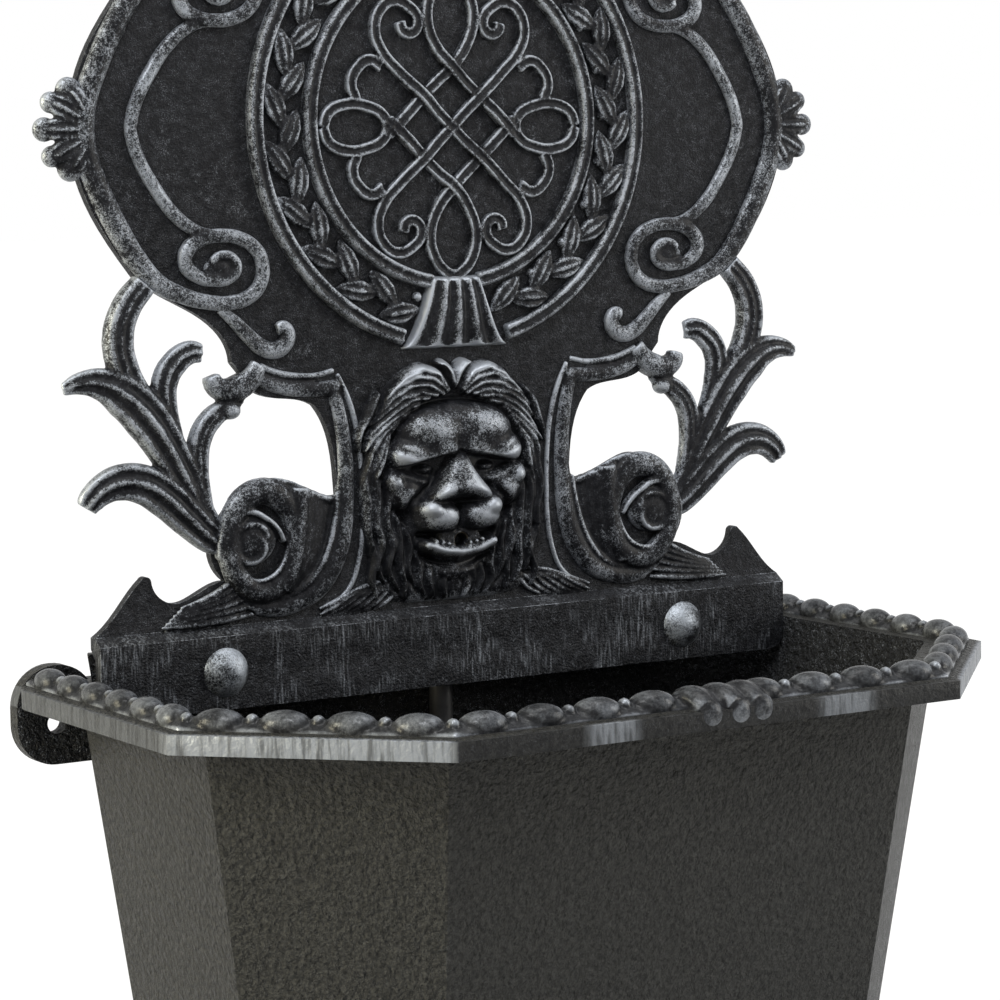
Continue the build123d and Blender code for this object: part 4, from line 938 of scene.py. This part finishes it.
lion = {
    "middle": -2.6,
    "xSpan": (-56, 52),
    "upSpan": (1, 107),
    "cell": 0.48,
    "blend": {"lobes": 2.2, "brow": 1.0, "ridges": 1.4, "nose": 1.2, "eyes": 0.5},
    "rubbedFrom": (4.0, 9.0),
    "tilt": (60, 0.05),     # the mane low at the sides keeps more of its black, as painted shade darkening the mask towards its foot
    # painted shade: spots where the silver is held back under the brow, nose and lips: x, up, half width,
    # half height, share lost
    "dulled": [(-2.6, 66.4, 23, 4.0, 0.8), (-2.6, 33.5, 24, 3.4, 0.6), (-2.6, 24.5, 20, 4.0, 0.4),
               (-9, 55, 6, 6, 0.6), (-2, 50, 9, 2.4, 0.4), (-2.6, 97, 60, 12, 0.35)],
    # lobes: away from the middle, up, half width, half height, out, how square
    "lobes": [
        (0, 52, 33.0, 17, 6.4, 2.6), (0, 40, 26, 24, 7.2, 2.4), (0, 18, 14, 8.5, 6.0, 2.2),
        (25, 49.5, 10.5, 9.5, 8.2, 2.0), (30.4, 55, 5.8, 6.2, 8.8, 2.0), (9.8, 39.4, 12.8, 9.6, 13.0, 2.2),
        (14.6, 42.4, 8.0, 6.2, 13.5, 2.0),
    ],
    # the forehead overhangs the eyes along a line that falls towards the temples
    "forehead": [(0, 65, 32.8, 23.4, 11.4, 2.3), (12, 75.5, 18, 11.5, 11.8, 2.0),
                 (23, 66, 12, 8.5, 11.2, 2.0)],
    "brow": {"middle": 66.4, "fall": 0.2, "soft": 2.2},
    "socket": {"away": 16.5, "up": 60.6, "halves": (12.5, 4.6), "depth": 3.4},
    "nose": {"top": 64.6, "foot": 49.4, "halves": (4.6, 13.4), "outs": (9.8, 15.2), "flare": 1.3,
             "tip": 1.2, "under": 2.4, "over": 2.0, "flanks": 3.4},
    # the spout's bore runs out through the tongue, which covers the tube's wall
    "tongue": {"up": 28.2, "halves": (10.5, 4.4), "out": 7.4},
    "bore": {"x": -2.0, "up": 28.0, "radius": 3.1, "deep": 1.0},
    "locks": [
        # away from the middle and up, from root to tip, with half width and height
        ([(3, 93), (9, 99.5), (17, 101.5), (25, 98.5), (30, 93.5)], 3.2, 7.8),
        ([(4, 92), (11, 97.4), (20, 98.4), (28.5, 94.8), (35, 88.8)], 2.9, 7.8),
        ([(6, 91), (13.6, 95), (22.4, 94.6), (31, 90.2), (38.6, 83.6)], 2.9, 7.6),
        ([(9, 90.4), (17, 92), (26, 90.2), (34, 85.4), (41, 79)], 2.8, 7.4),
        ([(13, 89.4), (21, 89), (29.6, 85.4), (37, 79.8), (42.6, 73.4)], 2.8, 7.2),
        ([(18, 87), (25.6, 85), (33, 80.6), (39.4, 74.4), (44.4, 68)], 2.8, 7.0),
        ([(23.6, 84), (30.4, 80), (36, 74.8), (40.6, 68.4), (43.6, 61)], 2.8, 6.8),
        ([(28.4, 79.6), (33.4, 74.2), (37.4, 68), (40.4, 60.8), (42, 53.4)], 2.8, 6.4),
        ([(32, 74), (35.6, 67), (38, 60), (39.6, 52), (41, 43.4)], 2.8, 6.2),
        ([(0, 94), (2, 99.5), (5, 103), (9, 104)], 3.2, 6.6),
        ([(36, 92), (41, 85), (45, 77), (46.5, 68)], 2.6, 4.6),
        ([(42, 66), (43.5, 56), (43, 45), (41.5, 34), (42, 24)], 3.0, 5.0),
        ([(37, 55), (39, 43), (36, 31), (38.5, 20), (35, 12)], 3.4, 5.2),
        ([(33.5, 51), (34, 40), (31, 29), (33.5, 18), (29, 8)], 3.4, 5.4),
        ([(30, 45), (27.5, 35), (28.5, 25), (25.5, 15), (26, 5)], 3.2, 5.2),
        ([(25, 35), (22.5, 27), (24, 18), (20, 9)], 2.9, 5.0),
        ([(20, 24), (17.5, 17), (18.5, 10), (15, 4)], 2.6, 4.6),
        ([(12.6, 16), (13.4, 11), (11, 4)], 2.4, 4.4),
        ([(5.4, 13), (6.4, 8), (4.4, 3)], 2.4, 4.4),
        ([(41, 30), (39, 20), (41, 12), (39, 5)], 2.4, 4.0),
    ],
    # creases: away and up, half width, depth
    "creases": [
        ([(10, 57.6), (13, 53.4), (17.4, 49.4), (23, 46.4), (26, 40), (25.4, 33)], 1.8, 2.2),
        ([(10.6, 47.4), (5, 45.8), (0, 44.4)], 2.4, 5.8),
        ([(0, 46), (0.2, 40), (0, 32)], 1.3, 2.4),
        ([(18, 31.2), (10, 30.4), (0, 30.2)], 1.5, 8.5),
        ([(15.6, 20.8), (9, 18.6), (0, 17.8)], 2.2, 3.6),
        ([(33, 71), (28, 68), (22, 65.2)], 1.6, 1.2),
        ([(0.3, 65), (0.6, 71.5)], 1.8, 2.4),
        ([(34.6, 62), (33.4, 70), (29, 78.6), (21.5, 85), (11.5, 88.6), (0, 89.8)], 1.5, 3.0),
        ([(31, 47), (29, 42), (27.6, 37)], 1.4, 1.2),
    ],
    # ridges: away and up, half width, height out
    "ridges": [
        ([(29, 57.6), (23, 55.4), (15, 53.2)], 3.2, 6.9),
        ([(16, 27.2), (9, 24.5), (0, 23.4)], 3.9, 10.2),
    ],
    "eyes": (15.4, 59.0, 5.4, 2.3, 6.0),
    # the mane's ground, and the skull and jaw that the hair stays off: up, halves, how square
    "mane": [(54, (43, 48), 3), (24, (40, 22), 5)],
    "maneOut": 3.6,
    "comb": 0.4,
    "wobble": 0.6,
    "bareEdge": (0.92, 7),      # where the hair sets in round the bare face, and how fast
    "groove": (0.9, 0.8),       # depth and half width of the lines between locks
    "bare": [(58, (33.4, 31.2), 2.2), (36, (23, 19), 2.4)],
    "toothHalves": (1.6, 2.0),
    "toothOut": 10.6,
    "teeth": [(-12.6, 28.6), (-9.4, 28), (-6.6, 27.4), (4.2, 27), (7.2, 27.6), (10.2, 28.2)],
}


def strokeField(across, up, path, steps=9):
    # Distance to a smooth stroke and how far along it, for every place on the sheet
    points = np.array(path, dtype=float)
    knots = np.arange(len(points))
    fine = np.linspace(0, len(points) - 1, (len(points) - 1) * steps + 1)
    smooth = np.stack([np.interp(fine, knots, points[:, axis]) for axis in range(2)], axis=1)
    for _ in range(steps // 2):
        smooth[1:-1] = (smooth[:-2] + 2 * smooth[1:-1] + smooth[2:]) / 4
    nearest = np.full(across.shape, 1e9)
    along = np.zeros(across.shape)
    spanCount = len(smooth) - 1
    for index in range(spanCount):
        start, way = smooth[index], smooth[index + 1] - smooth[index]
        share = ((across - start[0]) * way[0] + (up - start[1]) * way[1]) / (way @ way + 1e-9)
        share = np.clip(share, 0, 1)
        gap = (across - start[0] - share * way[0]) ** 2 + (up - start[1] - share * way[1]) ** 2
        closer = gap < nearest
        nearest[closer] = gap[closer]
        along[closer] = (index + share[closer]) / spanCount
    return np.sqrt(nearest), along


def softMax(first, second, soft):
    near = np.clip(soft - np.abs(first - second), 0, None)
    return np.maximum(first, second) + near * near / (4 * soft)


def ovalOf(across, up, middle, halves, power=2):
    # Below 1 inside an oval, squarer as the power grows
    return (np.abs(across - middle[0]) / halves[0]) ** power + (np.abs(up - middle[1]) / halves[1]) ** power


def domeOf(reach, out):
    # A dome of a given height inside its reach, and far below the field outside
    return np.where(reach < 1, (out + 1) * np.sqrt(np.clip(1 - reach, 0, 1)) - 1, -9.0)


def lionHeight(setup):
    def heightOf(across, up):
        signed = across - setup["middle"]
        away = np.abs(signed)
        blend = setup["blend"]

        def massOf(lobes):
            mass = np.full(across.shape, -1.0)
            for place, level, half, tall, out, power in lobes:
                lobe = domeOf(ovalOf(away, up, (place, level), (half, tall), power), out)
                mass = softMax(mass, lobe, blend["lobes"])
            return mass

        face = massOf(setup["lobes"])
        socket = setup["socket"]
        hollow = ovalOf(away, up, (socket["away"], socket["up"]), socket["halves"])
        face = face - socket["depth"] * np.exp(-hollow)
        skull = massOf(setup["forehead"])
        brow = setup["brow"]
        lift = np.clip((up - brow["middle"] + brow["fall"] * away) / brow["soft"] + 0.5, 0, 1)
        face = softMax(face, (skull + 1) * lift * lift * (3 - 2 * lift) - 1, blend["brow"])
        for path, half, out in setup["ridges"]:
            gap, _ = strokeField(away, up, path)
            face = softMax(face, domeOf((gap / half) ** 2, out), blend["ridges"])
        for path, half, depth in setup["creases"]:
            gap, along = strokeField(away, up, path)
            fade = 0.5 + 0.5 * np.sin(math.pi * np.clip(0.06 + 0.9 * along, 0, 0.94))
            face = face - depth * np.exp(-(gap / half) ** 2) * fade * (face > 0)
        nose = setup["nose"]
        drop = np.clip((nose["top"] - up) / (nose["top"] - nose["foot"]), 0, 1.2)
        half = nose["halves"][0] + (nose["halves"][1] - nose["halves"][0]) * drop ** nose["flare"]
        crest = nose["outs"][0] + (nose["outs"][1] - nose["outs"][0]) * drop
        share = away / half
        foot = nose["foot"] + nose["tip"] * np.cos(np.clip(share, 0, 1) * math.pi)
        under = np.clip((foot + nose["under"] - up) / nose["under"], 0, 9) ** 2
        over = np.clip((up - nose["top"] + nose["over"]) / nose["over"], 0, 9) ** 2
        ridge = crest - share ** 2 - nose["flanks"] * share ** 6 - under - over
        ridge = np.where((share < 1.15) & (up < nose["top"] + 3), ridge, -9.0)
        face = softMax(face, ridge, blend["nose"])
        place, level, half, tall, out = setup["eyes"]
        face = softMax(face, domeOf(ovalOf(away, up, (place, level), (half, tall)), out), blend["eyes"])
        for tooth in setup["teeth"]:
            tip = ovalOf(signed, up, tooth, setup["toothHalves"])
            face = np.maximum(face, domeOf(tip, setup["toothOut"]))
        bore, tongue = setup["bore"], setup["tongue"]
        mouth = ovalOf(away, up, (0, tongue["up"]), tongue["halves"], 4) < 1
        face = np.where(mouth, np.maximum(face, tongue["out"]), face)
        reach = np.hypot(across - bore["x"], up - bore["up"])
        face = np.where((reach < bore["radius"]) & (face < tongue["out"] + 1.5), bore["deep"], face)
        hair = np.full(across.shape, -1.0)
        for level, halves, power in setup["mane"]:
            hair = np.maximum(hair, domeOf(ovalOf(away, up, (0, level), halves, power), setup["maneOut"]))
        wobble = setup["wobble"] * np.sin(up * 0.33 + np.sign(signed)) * np.clip(away / 30, 0, 1)
        deep, fine = setup["groove"]
        for path, half, out in setup["locks"]:
            gap, along = strokeField(away + wobble, up, path)
            taper = np.clip(np.sin(math.pi * np.clip(along * 0.84 + 0.14, 0, 1)), 0.03, 1) ** 0.6
            width = half * taper
            comb = setup["comb"] * np.cos(gap / np.maximum(width, 0.3) * math.pi * 2)
            lock = domeOf((gap / width) ** 2, out * (0.7 + 0.3 * taper) + comb)
            groove = deep * np.exp(-((gap - width) / fine) ** 2) * (hair > 0.5)
            hair = np.maximum(hair - groove, lock)
        bare = [ovalOf(away, up, (0, level), halves, power) for level, halves, power in setup["bare"]]
        start, slope = setup["bareEdge"]
        keep = np.clip((np.minimum(*bare) - start) * slope, 0, 1)
        return np.maximum(face, np.where(keep > 0, hair * keep - (1 - keep), -1.0))

    return heightOf


def makeLion(setup):
    bm = gridPiece(setup["xSpan"], setup["upSpan"], setup["cell"], lionHeight(setup))
    hang("lionMask", bm, maskMetal, "lion_mask", fine=6, broad=170, fineGain=0.9, broadGain=0.55,
         rubbedFrom=setup["rubbedFrom"], tilt=setup["tilt"], dulled=setup["dulled"])


makeLion(lion)


# Bunches of berries at the plate's sides, and the palmette on its crown

bunch = {
    # lobes: x, rise from the waist, radius; each leaf runs out to a lobe's tip
    "lobes": [(176.6, -15.2, 5.6), (184.4, -10.6, 4.4), (187.4, 0, 5.0), (184.4, 10.6, 4.4),
              (176.6, 15.2, 5.6)],
    "root": (169, 0.25),
    "half": 4.8,
    "leaf": [(0, 0.8, 0.6), (0.45, 1.0, 1.6), (0.85, 0.9, 1.8), (1.08, 0.55, 0.8)],     # far, wide, out
    "lobe": (-0.4, 3.2),        # how far out a lobe's middle lies, and its half height
    "heart": (176, (8, 10, 2.6)),
    "skin": (0.6, 1),
}


def makeBunch(setup):
    bm = bmesh.new()
    rootX, draw = setup["root"]
    middle, tall = setup["lobe"]
    for x, rise, radius in setup["lobes"]:
        pebbleInto(bm, (x, waist + rise, middle), (radius, radius, tall))
        leaf = [(rootX + (x - rootX) * far, waist + rise * (draw + (1 - draw) * far),
                 setup["half"] * wide, out) for far, wide, out in setup["leaf"]]
        sweepInto(bm, [leaf], "leaf")
    x, halves = setup["heart"]
    pebbleInto(bm, (x, waist, 0), halves)
    fuse(bm, *setup["skin"])
    hangPair("BerryCluster", bm, reliefMetal, "berry_cluster")


makeBunch(bunch)

crest = {
    "height": 58,
    "petals": 7,
    "spread": 78,
    "root": 6,
    "length": 63,
    "shorter": 0.3,     # how much shorter the outermost petals are
    "half": 7.6,
    "petal": [(0.1, 0.5), (0.35, 0.8), (0.65, 1.02), (0.86, 0.86), (0.955, 0.4)],
    # curls beside the petals: away from the middle, below the crown, radius, and the ball inside
    "curl": (48.9545, 5, 9.4),
    "ball": (8.6, 8.6, 3.4),
    "skin": (0.8, 2),
}


def makeCrest(setup):
    bm = bmesh.new()
    crown = (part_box("crest")[1].z - ledgeZ) / mm - setup["height"]
    for index in range(setup["petals"]):
        share = 2 * index / (setup["petals"] - 1) - 1
        angle = math.radians(90 - setup["spread"] * share)
        length = setup["length"] * (1 - setup["shorter"] * share * share)
        way = (length * math.cos(angle), length * math.sin(angle))
        path = [(way[0] * far, crown - setup["root"] + way[1] * far, setup["half"] * wide, 0.3)
                for far, wide in setup["petal"]]
        sweepInto(bm, [path], "leaf")
    away, below, wide = setup["curl"]
    for side in (1, -1):
        x, up = side * away, crown - below
        turns = []
        for step in range(17):
            angle = math.radians(-60 + 40 * step)
            radius = wide * (1 - step / 20)
            place = (x + side * radius * math.cos(angle), up + radius * math.sin(angle))
            turns.append((*place, 2.2 - 0.05 * step, 1.2))
        sweepInto(bm, [turns], "round")
        pebbleInto(bm, (x, up, 0), setup["ball"])
    fuse(bm, *setup["skin"])
    hang("crestPalmette", bm, reliefMetal, "crest")


makeCrest(crest)
print("mask, bunches and crest carved")


# Copies of the plain pieces with their edges eased

easing = {"sharpFrom": 28, "segments": 3, "smoothTo": 24, "edgeWorn": 0.7}      # angles in degrees


def easedCopy(name, node, finish, ease, body, setup=easing):
    bm = bmesh.new()
    bm.from_mesh(bpy.data.objects[node].data)
    bmesh.ops.remove_doubles(bm, verts=bm.verts, dist=2e-6)
    bmesh.ops.dissolve_limit(bm, angle_limit=math.radians(0.6), verts=bm.verts, edges=bm.edges)
    least = math.radians(setup["sharpFrom"])
    sharp = [edge for edge in bm.edges if len(edge.link_faces) == 2 and edge.calc_face_angle(0) > least]
    eased = bmesh.ops.bevel(bm, geom=sharp, offset=ease, offset_type="OFFSET", affect="EDGES",
                            segments=setup["segments"], profile=0.5, material=-1, clamp_overlap=True)
    strip = set(eased["faces"])
    worn = [setup["edgeWorn"] * all(face in strip for face in vert.link_faces) for vert in bm.verts]
    bmesh.ops.triangulate(bm, faces=[face for face in bm.faces if len(face.verts) > 4])
    mesh = bpy.data.meshes.new(name)
    bm.to_mesh(mesh)
    bm.free()
    layer = mesh.attributes.new("worn", "FLOAT", "POINT")
    layer.data.foreach_set("value", worn)
    mesh.shade_smooth()
    mesh.set_sharp_from_angle(angle=math.radians(setup["smoothTo"]))
    mount(name, mesh, finish, node, body)


fittings = [
    # name, node, finish, slot, eased edge in mm, body
    ("backPlate", "back_plate", fieldMetal, "cast_iron", 0.9, "fountain"),
    ("troughTub", "trough", troughMetal, "cast_iron", 1.1, "fountain"),
    ("plateBolts", "plate_bolts", boltSilver, "bolt_steel", 0.4, "fountain"),
    ("boltWashers", "bolt_washers", zincSteel, "zinc_steel", 0.25, "fountain"),
    ("boltNuts", "bolt_nuts", zincSteel, "zinc_steel", 0.4, "fountain"),
    ("spoutTube", "spout_tube", tarnishShadeBrass, "brass", 0.25, "fountain"),
    ("spoutSeal", "spout_seal", blackRubber, "black_rubber", 0.3, "fountain"),
    ("spoutElbow", "spout_elbow", dullBrass, "brass", 0.5, "fountain"),
    ("riserPipe", "riser_pipe", blackPipe, "black_plastic", 0.25, "fountain"),
    ("riserCoupling", "riser_coupling", blackRubber, "black_rubber", 0.5, "fountain"),
    ("pumpMotor", "pump_motor", pumpBlack, "pump_plastic", 1.6, "fountain"),
    ("pumpCover", "pump_cover", pumpBlack, "pump_plastic", 0.5, "fountain"),
    ("pumpSeal", "pump_seal", blackRubber, "black_rubber", 0.2, "fountain"),
    ("pumpStrainer", "pump_strainer", pumpBlack, "pump_plastic", 0.5, "fountain"),
    ("pumpImpeller", "pump_impeller", impellerPale, "impeller_plastic", 0.25, "impeller"),
    ("impellerShaft", "impeller_shaft", groundSteel, "shaft_steel", 0.2, "fountain"),
    ("rearShaftBush", "rear_shaft_bush", blackRubber, "black_rubber", 0.2, "fountain"),
    ("frontShaftBush", "front_shaft_bush", blackRubber, "black_rubber", 0.2, "fountain"),
    ("flowDial", "flow_dial", dialBlue, "dial_plastic", 0.4, "dial"),
    ("pumpFeet", "pump_feet", blackRubber, "black_rubber", 0.5, "fountain"),
    ("cableGland", "cable_gland", blackRubber, "black_rubber", 0.4, "fountain"),
    ("drainPlug", "drain_plug", blackRubber, "black_rubber", 0.7, "plug"),
]

for name, node, finish, slot, ease, body in fittings:
    easedCopy(name, node, finish, ease * mm, body)


def markInside(piece, middle):
    # 1 on walls that look towards the trough's middle
    layer = piece.data.attributes.new("inner", "FLOAT", "POINT")
    for vert, spot in zip(piece.data.vertices, layer.data):
        away = (vert.co - middle).xy.normalized()
        spot.value = 1.0 if vert.normal.xy.dot(away) < -0.3 else 0.0


markInside(bpy.data.objects["troughTub"], middleOf("trough"))
print("fittings eased")


# Bead round the rim: eggs and small beads on a low moulding

rim = {
    "counts": (6, 4, 9, 4, 6),      # eggs on the right side, right cant, front, left cant and left side
    "cut": 72.1,
    "halfBead": 6.5,
    "back": -8.5,
    "egg": {"long": 0.4, "half": 6.4, "tall": 5.4, "up": 2.4, "lean": -7},
    "bead": {"radius": 2.8, "up": 3.4},
    "moulding": (5.8, 2.6),
    # broad strands cross the front in place of an egg: where each starts and ends along the rim, and
    # its run: share of the way along, away from the middle line, share of the half width, out
    "strands": [(-8.0, -4.0), (3.6, 9.5), (14.6, 20.0)],
    "strand": [(0, 5.4, 0.8, 1.4), (0.1, 3, 1, 3.0), (0.35, -1.4, 1.05, 3.6), (0.65, -5.0, 1.05, 2.0),
               (0.9, -7.2, 1, 0.0)],
    "strandHalf": 6.6,
    "strandEnd": ((-7.6, -2.4), (6.4, 4.4, 6.2)),
    "bareEgg": 4,                   # the front's egg that the strands stand for
    "skin": (0.7, 2),
}


def makeRim(setup):
    low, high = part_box("rim_bead")
    egg, bead = setup["egg"], setup["bead"]
    # corners of the bead's middle line, in mm on the rim's top
    halfWidth = high.x / mm - setup["halfBead"]
    front = low.y / mm + setup["halfBead"]
    base = low.z / mm
    cut = setup["cut"]
    corners = [(halfWidth, setup["back"]), (halfWidth, front + cut), (halfWidth - cut, front)]
    corners += [(-x, y) for x, y in reversed(corners)]
    bm = bmesh.new()
    for run, (start, end) in enumerate(zip(corners, corners[1:])):
        start, end = Vector((*start, 0)), Vector((*end, 0))
        way = end - start
        turn = math.degrees(math.atan2(way.y, way.x))
        count = setup["counts"][run]
        step = way / count
        wide, tall = setup["moulding"]
        roll = bmesh.ops.create_cone(bm, cap_ends=True, segments=28, radius1=wide, radius2=wide,
                                     depth=way.length + 4)["verts"]
        flat = Matrix.Diagonal((1, 1, tall / wide, 1)) @ Matrix.Rotation(math.pi / 2, 4, "Y")
        lie = Matrix.Translation((start + end) / 2) @ Matrix.Rotation(math.radians(turn), 4, "Z") @ flat
        bmesh.ops.transform(bm, matrix=lie, verts=roll)
        for index in range(count):
            spot = start + step * (index + 0.5)
            gap = start + step * index
            onFront = abs(way.y) < 1
            if onFront and index == setup["bareEgg"]:
                continue
            halves = (step.length * egg["long"], egg["half"], egg["tall"])
            pebbleInto(bm, (spot.x, spot.y, egg["up"]), halves, turn + (egg["lean"] if onFront else 0), 24)
            pebbleInto(bm, (gap.x, gap.y, bead["up"]), (bead["radius"],) * 3, turn, 14)
    half = setup["strandHalf"]
    for inner, outer in setup["strands"]:
        path = [(inner + (outer - inner) * far, front + away, half * wide, out)
                for far, away, wide, out in setup["strand"]]
        sweepInto(bm, [path], "low")
        (away, out), halves = setup["strandEnd"]
        pebbleInto(bm, (outer, front + away, out), halves)
    bmesh.ops.translate(bm, verts=bm.verts, vec=(0, 0, base))
    fuse(bm, *setup["skin"])
    hang("rimBead", bm, rimMetal, "rim_bead", space=Matrix.Scale(mm, 4))


makeRim(rim)
